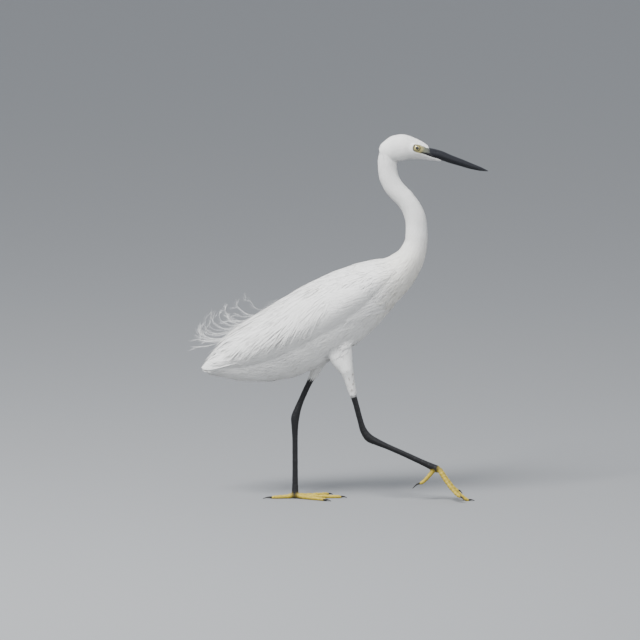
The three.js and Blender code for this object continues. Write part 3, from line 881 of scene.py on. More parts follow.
def coatPiece(name, surface, uRange, spacing, heading, shape, sizes, depth, seed, keep, turn, bend,
              lump=dict(size=30, turn=0, height=0), rounding=0.3, jitter=0.4, shade=0.14):
    # Roots over a surface; sizes gives length and width in mm, depth the height of root and tip
    rng = np.random.default_rng(seed + 1)
    u, v = scatter(surface, uRange, spacing, seed, keep, jitter)
    roots = surface(u, v)
    number = len(u)
    length, width = sizes(u, v, roots)
    length = length * rng.uniform(0.85, 1.15, number)
    width = width * rng.uniform(0.85, 1.15, number)
    ahead = unit(heading(u, v, roots))
    waysUp = unit(surface(u, v, 0.5) - surface(u, v, -0.5))
    du, dv = stepsAlong(surface, u, v, ahead)
    eu, ev = stepsAlong(surface, u, v, np.cross(ahead, waysUp))
    angle = rng.normal(0, turn, number) + lump["turn"] * clumps(roots, lump["size"], seed + 5)
    at = np.asarray(shape["at"], float)
    curve = angle[:, None] * at + rng.normal(0, bend, number)[:, None] * at ** 2
    reach = length[:, None] * at
    guideU = u[:, None] + du[:, None] * reach + eu[:, None] * length[:, None] * curve
    guideV = v[:, None] + dv[:, None] * reach + ev[:, None] * length[:, None] * curve
    guide = surface(np.clip(guideU, 0.01, uRange[1] + 3), guideV)
    low, high, power = depth(u, v, roots)
    swell = 1 + lump["height"] * clumps(roots, lump["size"], seed + 9)
    high = high * swell * rng.uniform(0.85, 1.1, number)
    heights = low[:, None] + (high - low)[:, None] * at ** power
    rootUv = np.stack([0.02 + 0.96 * (u - uRange[0]) / (uRange[1] - uRange[0]), (v / (2 * np.pi)) % 1], -1)
    tone = plumageTone(roots) * rng.uniform(0.96, 1.03, (number, 1))
    layFeathers(name, guide, shape, length, width, heights, rootUv, tone, shade, rounding)


def spaced(along, around, rows=(0, 1)):
    # Gaps in mm along and around a surface, each from its first value to its second over the rows
    return lambda u: tuple(lerp(*gap, smoothStep(u, *rows)) for gap in (along, around))


def backwards(u, v, p):
    return pathFrame(spinePath, u)[1]


def headHeading(u, v, p):
    # From the bill back over the face and crown, and down the neck behind it
    turn = math.radians(88) * smoothStep(p[:, 0], 112, 82) * smoothStep(p[:, 2], 440, 470)
    fall = 0.25 * smoothStep(p[:, 2], 478, 462)
    return np.stack([-np.cos(turn), np.zeros_like(turn), -np.sin(turn) - fall], -1)


def headKeep(u, v, p, rng):
    # Feathers stop at the bare face, round the eye and along the bill's edge
    x, z = p[:, 0], p[:, 2]
    eye = np.hypot(x - eyeSettings["x"], z - eyeSettings["z"])
    forehead = (z > 467) & (x > 146 - 0.3 * np.abs(p[:, 1]))
    besideBill = (x > 137) & (z > np.interp(x, [137, 150, 162], [466, 461.5, 457.5]))
    return (faceBare(p) < 0.35) & (eye > 4.6) & ~forehead & ~(besideBill & (z < 467.5) | (x > 163))


def headSizes(u, v, p):
    face = smoothStep(p[:, 0], 108, 134)
    nape = smoothStep(p[:, 0], 100, 84)
    return 4.4 - 1.8 * face + 2.8 * nape, 1.08 - 0.3 * face + 0.3 * nape


def headDepths(u, v, p):
    d = coatDepth["head"] * (1 - 0.5 * smoothStep(u, 8.6, 9.8))
    # lower beside the bare face and towards the bill
    rise = 1 - 0.75 * np.maximum(faceBare(p, 4.5), 0.7 * smoothStep(p[:, 0], 132, 146))
    return 0.3 * d * rise, (0.25 + 0.8 * d) * rise, 0.8


coatPiece("coatHead", headSurface, (0.05, 10.9), spaced((1.08, 0.72), (0.9, 0.62), (4, 7.5)), headHeading,
          shapes["small"], headSizes, headDepths, 11, headKeep, turn=0.07, bend=0.06)


def neckSizes(u, v, p):
    grow = smoothStep(u, 6, 11)
    return 8.0 + 5.0 * grow, 1.6 + 0.85 * grow


def neckDepths(u, v, p):
    return np.full(len(u), 0.45 * coatDepth["neck"]), 0.1 + 0.92 * coatDepth["neck"] + 0 * u, 0.8


def neckKeep(u, v, p, rng):
    # none inside the head
    return ~((p[:, 2] > 462) & (p[:, 0] > 84) & (p[:, 0] < 112))


coatPiece("coatNeck", spineSurface, (0.3, 9.2), spaced((1.4, 1.7), (1.02, 1.3), (6, 9)), backwards,
          shapes["small"], neckSizes, neckDepths, 21, neckKeep, turn=0.06, bend=0.05,
          lump=dict(size=26, turn=0.08, height=0.12))


# Body, thighs and wings

wingOutline = [
    [88, 274], [83, 259], [62, 259], [30, 249], [-13, 225], [-60, 203], [-100, 192], [-130, 184], [-150, 179],
    [-158, 177], [-156, 184], [-127, 203], [-93, 224], [-47, 253], [0, 279], [40, 292], [70, 288],
]


def polygonDepth(x, z, outline):
    # Distance to the nearest side of a closed outline, plus inside it and minus outside
    a = np.asarray(outline, float)
    b = np.roll(a, -1, 0)
    p = np.stack([x, z], -1)[..., None, :]
    t = np.clip(((p - a) * (b - a)).sum(-1) / ((b - a) ** 2).sum(-1), 0, 1)[..., None]
    gap = np.linalg.norm(p - a - t * (b - a), axis=-1).min(-1)
    crosses = (a[:, 1] > z[..., None]) != (b[:, 1] > z[..., None])
    rise = np.where(b[:, 1] == a[:, 1], 1, b[:, 1] - a[:, 1])
    edgeX = a[:, 0] + (z[..., None] - a[:, 1]) * (b[:, 0] - a[:, 0]) / rise
    inside = (crosses & (x[..., None] < edgeX)).sum(-1) % 2 == 1
    return np.where(inside, gap, -gap)


def onSide(x, z, hand):
    # The place on the winged surface that a point of the side view covers: its row is the nearest
    # one of the spine, and its angle the one whose cosine gives its depth
    x, z = np.broadcast_arrays(np.asarray(x, float), np.asarray(z, float))
    rows = np.linspace(10.5, 23, 1200)
    centre, _, depth, _, halfDepth, _ = pathFrame(wingedPath, rows)
    flat = np.stack([x.ravel(), z.ravel()], -1)
    near = nearestOf(flat, centre[:, ::2])[0]
    away = flat - centre[near, ::2]
    down = (away * depth[near, ::2]).sum(-1)
    half = halfDepth[near] * (1 - wing["lift"])
    cosine = np.clip((down + halfDepth[near] * wing["lift"]) / half, -0.995, 0.995)
    angle = hand * np.arccos(cosine)
    return rows[near].reshape(x.shape), angle.reshape(x.shape)


def bodySizes(u, v, p):
    back = np.maximum(-np.cos(v), 0)
    grow = smoothStep(u, 10, 15)
    rear = smoothStep(u, 19, 22.5)
    return 13 + 6 * grow + 5 * rear - 2 * back, 2.3 + 0.8 * grow


def bodyDepths(u, v, p):
    d = lerp(coatDepth["neck"], coatDepth["body"], smoothStep(u, 8.5, 13))
    return 0.45 * d, 0.1 + 0.95 * d, 0.8


def shareOf(path, rows, p):
    # How far out a point lies within a path's section: 1 on its drawn surface, less inside
    centre, _, depth, width, halfDepth, halfWidth = pathFrame(path, rows)
    near = nearestOf(p[:, ::2], centre[:, ::2])[0]
    away = p - centre[near]
    return np.hypot((away * depth[near]).sum(-1) / halfDepth[near],
                    (away * width[near]).sum(-1) / halfWidth[near])


# where the flank's feathers end over the thighs: a line that rises forward, and its reach
hipEdge = dict(height=184, slope=0.56, along={-1: (-12, 42), 1: (-24, 34)})


def overHip(p, rise):
    return p[:, 2] > hipEdge["height"] + rise + hipEdge["slope"] * p[:, 0]


def underWing(u, v, p, rng):
    # nothing where the wing or a thigh covers the body
    hidden = polygonDepth(p[:, 0], p[:, 2], wingOutline) > 9
    rows = np.linspace(0, 5, 120)
    besideLegs = np.minimum(shareOf(legPaths[-1], rows, p), shareOf(legPaths[1], rows, p)) > 0.93
    return ~(hidden & (np.abs(p[:, 1]) > 10)) & (besideLegs | overHip(p, 16))


coatPiece("coatBreast", spineSurface, (8.9, 15.2), spaced((1.7, 2.4), (1.3, 1.85), (9, 12)), backwards,
          shapes["small"], bodySizes, bodyDepths, 31, underWing, turn=0.08, bend=0.08,
          lump=dict(size=34, turn=0.14, height=0.16))
coatPiece("coatBelly", spineSurface, (14.8, 22.6), spaced((2.6, 2.6), (1.95, 1.95)), backwards,
          shapes["small"], bodySizes, bodyDepths, 41, underWing, turn=0.09, bend=0.09,
          lump=dict(size=30, turn=0.16, height=0.2))


def legHeading(hand):
    return lambda u, v, p: pathFrame(legPaths[hand], u)[1]


def thighKeep(u, v, p, rng):
    # from just inside the flank and under the feathers that hang over its top
    return (shareOf(spinePath, np.linspace(9, 22.8, 240), p) > 0.9) & ~overHip(p, 7)


def thighSizes(u, v, p):
    lower = smoothStep(u, 1.5, 4.6)
    return 8.5 - 3.8 * lower, 2.1 - 0.9 * lower


def thighDepths(u, v, p):
    d = coatDepth["thigh"] * (1 - smoothStep(u, 3.6, 5.1))
    return 0.4 * d, 0.25 + 0.85 * d, 0.8


for hand in (-1, 1):
    coatPiece(sided("coatThigh", hand), lofted(legPaths[hand]), (0.9, 4.95),
              spaced((2.0, 1.15), (1.5, 0.85), (1.5, 4.6)), legHeading(hand), shapes["small"], thighSizes,
              thighDepths, 51 + hand, thighKeep, turn=0.08, bend=0.08,
              lump=dict(size=12, turn=0.12, height=0.1))


def layVanes(name, roots, directions, lengths, widths, shape, low, high, seed, hand, over=None):
    # Vanes named by their root and direction in the side view; each station is found on the winged
    # surface and laid on the skin
    rng = np.random.default_rng(seed)
    at = np.asarray(shape["at"], float)
    reach = lengths[:, None] * np.diff(np.append(0, at))
    x = roots[:, :1] + np.cumsum(np.cos(directions)[:, None] * reach, 1)
    z = roots[:, 1:] + np.cumsum(np.sin(directions)[:, None] * reach, 1)
    u, v = onSide(x, z, hand)
    guide = sideSheet(u, v)
    if over is not None:
        guide = over(x, z, hand, guide)
    heights = low[:, None] + (high - low)[:, None] * at ** 0.8
    rootUv = np.stack([0.02 + 0.96 * np.clip((u[:, 0] - 10.5) / 12.5, 0, 1), (v[:, 0] / (2 * np.pi)) % 1], -1)
    tone = plumageTone(guide[:, 0]) * rng.uniform(0.965, 1.025, (len(x), 1))
    layFeathers(name, guide, shape, lengths, widths, heights, rootUv, tone, 0.14, 0.22)


wingLine = np.array([[86.0, 266.0], [-158.0, 177.0]])
wingAlong = unit(wingLine[1] - wingLine[0])
wingUp = np.array([-wingAlong[1], wingAlong[0]]) * (1 if wingAlong[0] > 0 else -1)


def wingRoots(rows, rng):
    # rows: [along from, to, up from the line, gap, length, width, low, high, turn in degrees]
    parts = []
    for start, end, lift, gap, length, width, low, high, turn in rows:
        a = np.arange(start, end, gap)
        a = a + rng.uniform(-0.15, 0.15, len(a)) * gap
        n = len(a)
        place = wingLine[0] + a[:, None] * wingAlong + (lift + rng.uniform(-0.4, 0.4, n))[:, None] * wingUp
        angle = math.atan2(wingAlong[1], wingAlong[0]) + math.radians(turn) + rng.normal(0, 0.035, n)
        parts.append(np.column_stack([place, angle, length * rng.uniform(0.93, 1.07, n),
                                      width * rng.uniform(0.93, 1.07, n), np.full(n, low), np.full(n, high)]))
    return np.concatenate(parts)


def wingRows():
    rows = []
    # primaries and secondaries, then greater, median and lesser coverts over them
    rows += [[150, 176, 6 + 2 * k, 9, 92 - 5 * k, 12, 0.6 + 0.3 * k, 2.4 + 0.4 * k, 1] for k in range(3)]
    rows += [[52 + 5 * k, 182 - 7 * k, 3 + 5.2 * k, 9.5, 66, 13, 1.2 + 0.12 * k, 3.2 + 0.25 * k, 3 - 1.5 * k]
             for k in range(8)]
    rows += [[30 + 4 * k, 120 - 4 * k, 3 + 5 * k, 7, 34, 10, 2.2, 4.4, 5 - 1.6 * k] for k in range(8)]
    rows += [[14 + 3 * k, 86, 2 + 3.0 * k, 3.6, 20, 7.6, 2.8, 4.8, 6 - 1.1 * k] for k in range(13)]
    rows += [[2 + 1.4 * k, 58, 1 + 2.5 * k, 2.5, 12.5, 5.4, 3.2, 5.2, 8 - 1.1 * k] for k in range(16)]
    return rows


for hand in (-1, 1):
    rng = np.random.default_rng(61 + hand)
    laid = wingRoots(wingRows(), rng)
    laid = laid[polygonDepth(laid[:, 0], laid[:, 1], wingOutline) > -1.5]
    small = laid[:, 4] < 9
    for name, part, shape, longer, slimmer in (("coatWing", laid[~small], shapes["vane"], 1.0, 1.0),
                                               ("coatCoverts", laid[small], shapes["lance"], 1.6, 0.72)):
        layVanes(sided(name, hand), part[:, :2], part[:, 2] + rng.normal(0, 0.05, len(part)),
                 part[:, 3] * longer, part[:, 4] * slimmer, shape, part[:, 5], part[:, 6], 71 + hand, hand)


# Flank feathers that hang over the top of the thigh, to a line that rises forward

hipCover = dict(gap=2.1, rowGap=2.6, jitter=1.2, slope=50, width=3.0, low=1.6, high=2.6, rise=(2, 34),
                seed=151)


def overThigh(x, z, hand, guide):
    # Where the thigh stands further out than the body its own side is followed, half an ellipse
    # at each height
    rows = np.array(legRows[hand])[::-1]
    middle, half, reach = (np.interp(z, rows[:, 1], rows[:, k]) for k in (0, 2, 3))
    across = (x - middle) / half
    side = legSide(1)(z) + reach * np.sqrt(np.maximum(1 - across ** 2, 0))
    covers = (np.abs(across) < 0.98) & (side > hand * guide[..., 1]) & (z < rows[-1, 1])
    return np.where(covers[..., None], np.stack([x, hand * side, z], -1), guide)


def layHips(hand):
    s = hipCover
    rng = np.random.default_rng(s["seed"] + hand)
    x, h = crossed(np.arange(*hipEdge["along"][hand], s["gap"]), np.arange(*s["rise"], s["rowGap"]))
    n = x.size
    x = x.ravel() + rng.uniform(-s["jitter"], s["jitter"], n)
    h = h.ravel() + rng.uniform(-s["jitter"], s["jitter"], n)
    z = hipEdge["height"] + hipEdge["slope"] * x + h
    # a feather's tip ends on the line or above it, whichever its length reaches
    slope = math.radians(s["slope"])
    lengths = np.clip(h / (math.sin(slope) - hipEdge["slope"] * math.cos(slope)), 9, 27)
    lengths = lengths * rng.uniform(0.85, 1.12, n)
    # the highest ones lie along the flank, the lower ones fall over the thigh
    directions = math.pi + slope * (1 - 0.75 * smoothStep(h, 20, 46)) + rng.normal(0, 0.08, n)
    layVanes(sided("coatHip", hand), np.column_stack([x, z]), directions, lengths,
             s["width"] * rng.uniform(0.85, 1.15, n), shapes["small"], np.full(n, s["low"]),
             np.full(n, s["high"]), 155 + hand, hand, over=overThigh)


for hand in (-1, 1):
    layHips(hand)


# Scapulars: long silky plumes over the back, straight along its ridge and steeper down the sides

scapulars = dict(length=(26, 52), width=2.5, steep=27, seed=81)


def sideFall(u, v):
    # Unit direction down the side, away from the ridge of the back
    slope = sideSheet(u, v + 0.02) - sideSheet(u, v - 0.02)
    return unit(slope) * -np.sign(np.sin(v))[:, None]


def offAngle(v, middle):
    # how far an angle lies from the middle one, at most half a turn
    return np.abs(np.angle(np.exp(1j * (v - middle))))


def scapularHeading(u, v, p):
    side = smoothStep(offAngle(v, np.pi), 0.15, 1.1)
    turn = np.radians(scapulars["steep"]) * side * smoothStep(u, 12.5, 16)
    return backwards(u, v, p) * np.cos(turn)[:, None] + sideFall(u, v) * np.sin(turn)[:, None]


def scapularKeep(u, v, p, rng):
    reach = np.interp(u, [11.5, 13, 15, 18, 20.5], [0.5, 0.95, 1.3, 1.25, 1.0])
    thinned = 1 - 0.5 * smoothStep(offAngle(v, np.pi), 0.8 * reach, reach)
    return (offAngle(v, np.pi) < reach) & (rng.uniform(0, 1, len(u)) < thinned)


def scapularSizes(u, v, p):
    s = scapulars
    shorter = 1 - 0.3 * smoothStep(u, 18.5, 20.8)
    return lerp(*s["length"], smoothStep(u, 12, 17)) * shorter, np.full(len(u), s["width"])


def scapularDepths(u, v, p):
    base = lerp(coatDepth["body"], coatDepth["wings"], smoothStep(u, 12, 15))
    return 0.62 * base, 1.05 * base + 0.9 * smoothStep(u, 14, 18), 0.8


coatPiece("coatScapulars", sideSheet, (11.3, 20.6), spaced((3.5, 3.5), (2.05, 2.05)), scapularHeading,
          shapes["lance"], scapularSizes, scapularDepths, scapulars["seed"], scapularKeep, turn=0.07,
          bend=0.1, lump=dict(size=40, turn=0.12, height=0.14), rounding=0.35)


# Breast plumes, tail and the loose plumes over the rump


def breastKeep(u, v, p, rng):
    front = offAngle(v, 0)
    return (front < 0.95) & (rng.uniform(0, 1, len(u)) < 0.85 - 0.5 * front)


def breastSizes(u, v, p):
    return lerp(26, 46, smoothStep(u, 10, 12)), np.full(len(u), 3.0)


def breastDepths(u, v, p):
    return np.full(len(u), 1.2), lerp(2.6, 5.0, smoothStep(u, 10.2, 12)), 1.1


coatPiece("breastPlumes", spineSurface, (9.9, 12.9), spaced((4.2, 4.2), (3.0, 3.0)), backwards,
          shapes["lance"], breastSizes, breastDepths, 91, breastKeep, turn=0.09, bend=0.12, rounding=0.4,
          shade=0.1, jitter=0.9)


tailRows = [[-78, 0, 196, 2, 13], [-110, 0, 184.5, 2, 18], [-140, 0, 176, 1.8, 20], [-154, 0, 173, 1.5, 17],
            [-160.5, 0, 172, 1, 8]]
tailSettings = dict(feathers=12, width=9, firstRow=0.15, lastRow=3.35, outerRow=0.7, spread=0.34, crown=3.0,
                    step=0.4, sink=0.6, lean=0.12, whiteness=0.98, seed=101)


def makeTail():
    # Twelve straight vanes, the middle pair uppermost, each a share of the fan's half width off the middle
    t = tailSettings
    rng = np.random.default_rng(t["seed"])
    path = makePath(tailRows)
    shape = shapes["quill"]
    at = np.asarray(shape["at"])
    side = np.linspace(-1, 1, t["feathers"])
    end = t["lastRow"] - t["outerRow"] * np.abs(side) ** 2 + rng.uniform(-0.1, 0.1, len(side))
    row = t["firstRow"] + (end - t["firstRow"])[:, None] * at
    centre, _, depth, width, _, halfWidth = pathFrame(path, row)
    out = side[:, None] * halfWidth * t["spread"]
    odd = (np.arange(len(side)) % 2)[:, None]
    height = t["crown"] * (1 - np.abs(side))[:, None] + t["step"] * odd - t["sink"]
    foot = centre + width * out[..., None]
    up = unit(-depth + t["lean"] * side[:, None, None] * width)
    length = np.linalg.norm(foot[:, -1] - foot[:, 0], axis=1)
    rootUv = np.stack([np.full(len(side), 0.5), 0.5 + 0.4 * side], -1)
    makeFeathers("tailVanes", foot, up, shape, length, np.full(len(side), t["width"]), height + 0 * at,
                 rootUv, plainTone(len(side), t["whiteness"]), 0.1, 0.2, "tail")


makeTail()

# Flight feathers and rump plumes reach past the end of the body, so their curves are drawn freely

freeEdge = np.array([[-112, 229], [-129, 219.5], [-140, 206], [-149, 195], [-158, 180]])

# the lowest quill first: where tips and roots lie, and how far out they stand as a share of the body's
quillSettings = dict(count=16, width=13.0, arch=2.0, stacking=0.45, whiteness=0.985, seed=121,
                     tipRanks=[0, 0.35, 1], tipX=[-158, -155, -122], tipZ=[177.5, 183, 212],
                     rootX=[-66, -36], rootZ=[206, 240], side=[1.0, 0.72], bends=(0, 0.34, 0.68, 1),
                     halfWidths=([-160, -148, -133, -108, -81, -53, -26], [2.5, 9, 16, 24, 31.5, 38, 41.5]))
freeSamples = 60


def bentPaths(knots, stations):
    rows = np.linspace(0, knots.shape[1] - 1, stations)
    return np.stack([splineAt(k, rows) for k in knots])


def layFree(name, knots, up, shape, widths, tone, rootUv, rounding):
    # knots: (feathers, points, 3) bend points of each feather's middle, from root to tip
    at = np.asarray(shape["at"], float)
    fine = bentPaths(knots, freeSamples)
    travel = np.linalg.norm(np.diff(fine, axis=1), axis=2).cumsum(1)
    travel = np.concatenate([np.zeros((len(knots), 1)), travel], 1)
    share = travel / travel[:, -1:]
    pick = np.stack([np.interp(at, row, np.arange(freeSamples)) for row in share])
    low = np.clip(pick.astype(int), 0, freeSamples - 2)
    which = np.arange(len(knots))[:, None]
    line = lerp(fine[which, low], fine[which, low + 1], (pick - low)[..., None])
    along = unit(np.gradient(line, axis=1))
    ways = unit(np.broadcast_to(up, line.shape))
    ways = unit(ways - along * (ways * along).sum(-1, keepdims=True))
    makeFeathers(name, line, ways, shape, travel[:, -1], widths, np.zeros(line.shape[:2]), rootUv, tone,
                 0.1, rounding)


def makeQuills(hand):
    # Primaries and tertials stacked from the lower edge of the wing tip up to the rump
    s = quillSettings
    rng = np.random.default_rng(s["seed"] + hand)
    n = s["count"]
    rank = np.linspace(0, 1, n)
    tipX = np.interp(rank, s["tipRanks"], s["tipX"]) + rng.uniform(-1, 1, n)
    tipZ = np.interp(rank, s["tipRanks"], s["tipZ"])
    rootX, rootZ, side = (np.interp(rank, [0, 1], s[key]) for key in ("rootX", "rootZ", "side"))
    knots = np.zeros((n, 4, 3))
    for k, share in enumerate(s["bends"]):
        x = lerp(rootX, tipX, share)
        z = lerp(rootZ, tipZ, share) + s["arch"] * np.sin(np.pi * share)
        half = np.interp(x, *s["halfWidths"])
        knots[:, k] = np.stack([x, hand * half * side * (1.02 - 0.02 * rank), z], -1)
    knots[:, :, 1] += hand * s["stacking"] * rank[:, None]
    up = np.stack([np.full(n, -0.1), np.full(n, hand * 1.0), 0.45 + 0.5 * rank], -1)[:, None]
    rootUv = np.stack([0.3 + 0.4 * rank, np.full(n, 0.25 + 0.5 * (hand < 0))], -1)
    layFree(sided("wingQuills", hand), knots, up, shapes["quill"], np.full(n, s["width"]),
            plainTone(n, s["whiteness"]), rootUv, 0.2)


for hand in (-1, 1):
    makeQuills(hand)


rumpPlumes = dict(count=420, width=2.6, seed=131, roots=(-36, -92), inward=15,
                  rows=([26, 53.3, 81.3, 108.6, 133], [18, 19, 20, 21, 22]),
                  halfWidths=([110, 133, 148, 160], [23, 15, 9, 5]))


def makeRumpPlumes():
    # Long soft plumes from the rear back that end along the free edge behind the rump
    s = rumpPlumes
    rng = np.random.default_rng(s["seed"])
    n = s["count"]
    place = rng.uniform(0, 1, n)
    edge = splineAt(freeEdge, place * (len(freeEdge) - 1))
    inward = rng.uniform(0, 1, n) ** 1.3 * s["inward"]
    tipX, tipZ = edge[:, 0] + 0.75 * inward, edge[:, 1] - 0.65 * inward
    rootX = lerp(*s["roots"], place) + rng.uniform(-14, 10, n)
    across = rng.normal(0, 0.45, n).clip(-1.1, 1.1)
    row = np.interp(-rootX, *s["rows"]) - 0.35
    half = np.interp(-tipX, *s["halfWidths"])
    root = loftPoint(spinePath, row, np.pi + across, -2.2, keel)
    mid = loftPoint(spinePath, row + lerp(1.1, 0.9, place), np.pi + 1.05 * across, 3.2, keel)
    tip = np.stack([tipX, -np.sin(across) * half, tipZ - 4 * across ** 2], -1)
    knots = np.stack([root, mid, lerp(mid, tip, 0.55) + np.array([0, 0, 2.0]), tip], 1)
    knots[:, 2:] += rng.normal(0, 0.8, (n, 2, 3))
    up = np.stack([np.full(n, -0.3), -np.sin(across), np.cos(across)], -1)[:, None]
    # painted shade: plumes ending lower along the rear edge are greyer, by a random amount
    tone = blend(plainTone(n), tones["shade"], 0.35 * place * rng.uniform(0, 1, n))
    rootUv = np.stack([0.1 + 0.8 * place, 0.5 + 0.3 * across], -1)
    layFree("coatRump", knots, up, shapes["lance"], s["width"] * rng.uniform(0.8, 1.2, n), tone, rootUv, 0.35)


makeRumpPlumes()

wisps = [
    [[-96, 4, 228], [-119, 5, 230], [-138, 4, 224], [-151, 2, 229], [-153, 0, 240], [-148, -1, 250]],
    [[-100, -7, 226], [-122, -9, 222], [-143, -10, 217], [-156, -8, 222], [-160, -5, 231], [-158, -4, 238]],
    [[-76, -4, 238], [-94, -5, 244], [-112, -5, 242], [-123, -3, 248], [-126, 0, 257], [-124, 1, 262]],
    [[-112, 9, 218], [-132, 12, 213], [-150, 11, 214], [-158, 10, 219], [-161, 9, 224], [-161, 8, 229]],
    [[-56, 3, 250], [-70, 4, 257], [-85, 4, 259], [-94, 3, 266], [-97, 2, 270], [-98, 2, 273]],
]
loosePlumes = dict(count=34, spreadSide=13, calm=0.75, stations=30, barbs=70, barbLength=15.0, shaft=0.22,
                   barb=0.095, bow=0.16, lean=(9, 24), order=[4, 2, 0, 1, 3], seed=111,
                   stepBack=(-14.5, -10), stepDown=(-10.5, -4.0), barbRange=(0.16, 0.995),
                   backRows=([-100, 0.7, 26, 53.3, 81.3, 108.6, 133], [12.2, 17, 18, 19, 20, 21, 22]))


def plumePaths():
    # Each plume leaves the back well before the rump, lies along it, and its free end follows a mix
    # of two neighbouring wisps; most ends stay low and a few curl up like the wisps
    s = loosePlumes
    rng = np.random.default_rng(s["seed"])
    n = s["count"]
    w = np.asarray(wisps, float)[s["order"]]
    kinds, bends = w.shape[:2]
    place = rng.uniform(0, kinds - 1, n)
    place[:kinds] = np.arange(kinds)
    i = np.minimum(place.astype(int), kinds - 2)
    free = lerp(w[i], w[i + 1], (place - i)[:, None, None])
    calm = rng.uniform(0.0, s["calm"], n)
    calm[:kinds] = 0
    stepX = rng.uniform(*s["stepBack"], n)
    stepZ = rng.uniform(*s["stepDown"], n)
    step = np.stack([stepX, np.zeros(n), stepZ], -1)[:, None]
    count = np.arange(bends)[None, :, None]
    low = free[:, :1] + step * count + np.array([0, 0, 1.5]) * count
    free = lerp(free, low, calm[:, None, None])
    free[:, :, 1] += rng.normal(0, s["spreadSide"] * 0.5, n)[:, None] * np.linspace(1, 0.8, bends)
    free += rng.normal(0, 1.0, (n, bends, 3)) * np.linspace(0.3, 1.6, bends)[None, :, None]
    # the laid part: four points back along the spine's top
    back = np.stack([free[:, 0] + np.array([26.0 * k, 0, 0]) for k in (2.4, 1.8, 1.2, 0.6)], 1)
    row = np.interp(-back[..., 0], *s["backRows"])
    angle = np.pi - free[:, :1, 1] / 48
    laid = loftPoint(spinePath, row, angle + 0 * row, np.array([-3.0, -1.5, 0.5, 2.0]), keel)
    laid[..., 1] = lerp(laid[..., 1], free[:, :1, 1], 0.5)
    return np.concatenate([laid, free[:, 1:]], 1)


def makeLoosePlumes():
    s = loosePlumes
    rng = np.random.default_rng(s["seed"] + 1)
    knots = plumePaths()
    n = len(knots)
    stations = s["stations"]
    line = bentPaths(knots, stations)
    along = unit(np.gradient(line, axis=1))
    up = unit(np.cross(along, np.cross(np.array([0, 0.15, 1.0]), along)))
    at = np.linspace(0, 1, stations)
    shaft = dict(at=at, width=np.append(1 - 0.75 * at[:-1], 0), across=3, crown=0.45)
    rootUv = np.stack([0.05 + 0.9 * np.arange(n) / n, np.full(n, 0.1)], -1)
    lengths = np.linalg.norm(np.diff(line, axis=1), axis=2).sum(1)
    makeFeathers("plumeShafts", line, up, shaft, lengths, np.full(n, s["shaft"]), np.zeros((n, stations)),
                 rootUv, plainTone(n), 0.05, 0.5)
    # barbs: pairs leaving the shaft on both sides, leaning forward, shorter towards the tip
    per = s["barbs"]
    share = np.linspace(*s["barbRange"], per)[None] + rng.uniform(-0.006, 0.006, (n, per))
    hand = np.where(np.arange(per) % 2 == 0, 1.0, -1.0)[None] * np.ones((n, 1))
    place = share * (stations - 1)
    k = np.clip(place.astype(int), 0, stations - 2)
    t = (place - k)[..., None]
    pick = np.arange(n)[:, None]
    root = lerp(line[pick, k], line[pick, k + 1], t)
    forward = unit(lerp(along[pick, k], along[pick, k + 1], t))
    upward = up[pick, k]
    side = unit(np.cross(upward, forward)) * hand[..., None]
    lean = np.radians(rng.uniform(*s["lean"], (n, per)))[..., None]
    length = s["barbLength"] * (1.15 - 0.75 * share) * rng.uniform(0.7, 1.2, (n, per))
    go = forward * np.cos(lean) + side * np.sin(lean) + upward * rng.normal(0, 0.16, (n, per, 1))
    barbAt = np.array([0, 0.45, 0.8, 1])
    reach = length[..., None] * barbAt
    bow = length[..., None] * s["bow"] * barbAt ** 2
    path = root[:, :, None] + go[:, :, None] * reach[..., None] + forward[:, :, None] * bow[..., None]
    path = path.reshape(n * per, 4, 3)
    ups = np.repeat(upward.reshape(-1, 1, 3), 4, 1)
    shape = dict(at=barbAt, width=(1.0, 0.85, 0.55, 0), across=3, crown=0.45)
    rootUv = np.stack([0.05 + 0.9 * (pick + 0 * share) / n, 0.1 + 0.85 * share], -1).reshape(-1, 2)
    tips = [f"plume_tip_{k}" for k in range(1, 6)]
    makeFeathers("plumeBarbs", path, ups, shape, length.ravel(), np.full(n * per, s["barb"]),
                 np.zeros((n * per, 4)), rootUv, plainTone(n * per), 0.05, 0.5, "plumes_back", *tips)


makeLoosePlumes()

# Bill: two horn halves either side of the gape

billSettings = dict(gap=0.12, tuck=0.95, nostril=(152.5, 0.95), nostrilDepth=0.75,
                    nostrilSize=(3.6, 0.13), groove=0.35, grooveWidth=0.16, ridge=0.05, ridgeWidth=0.3)


def gapeHeight(x):
    line = splineAt(np.asarray(gapeRows, float), np.linspace(0, len(gapeRows) - 1, 200))
    return np.interp(x, line[:, 0], line[:, 1])


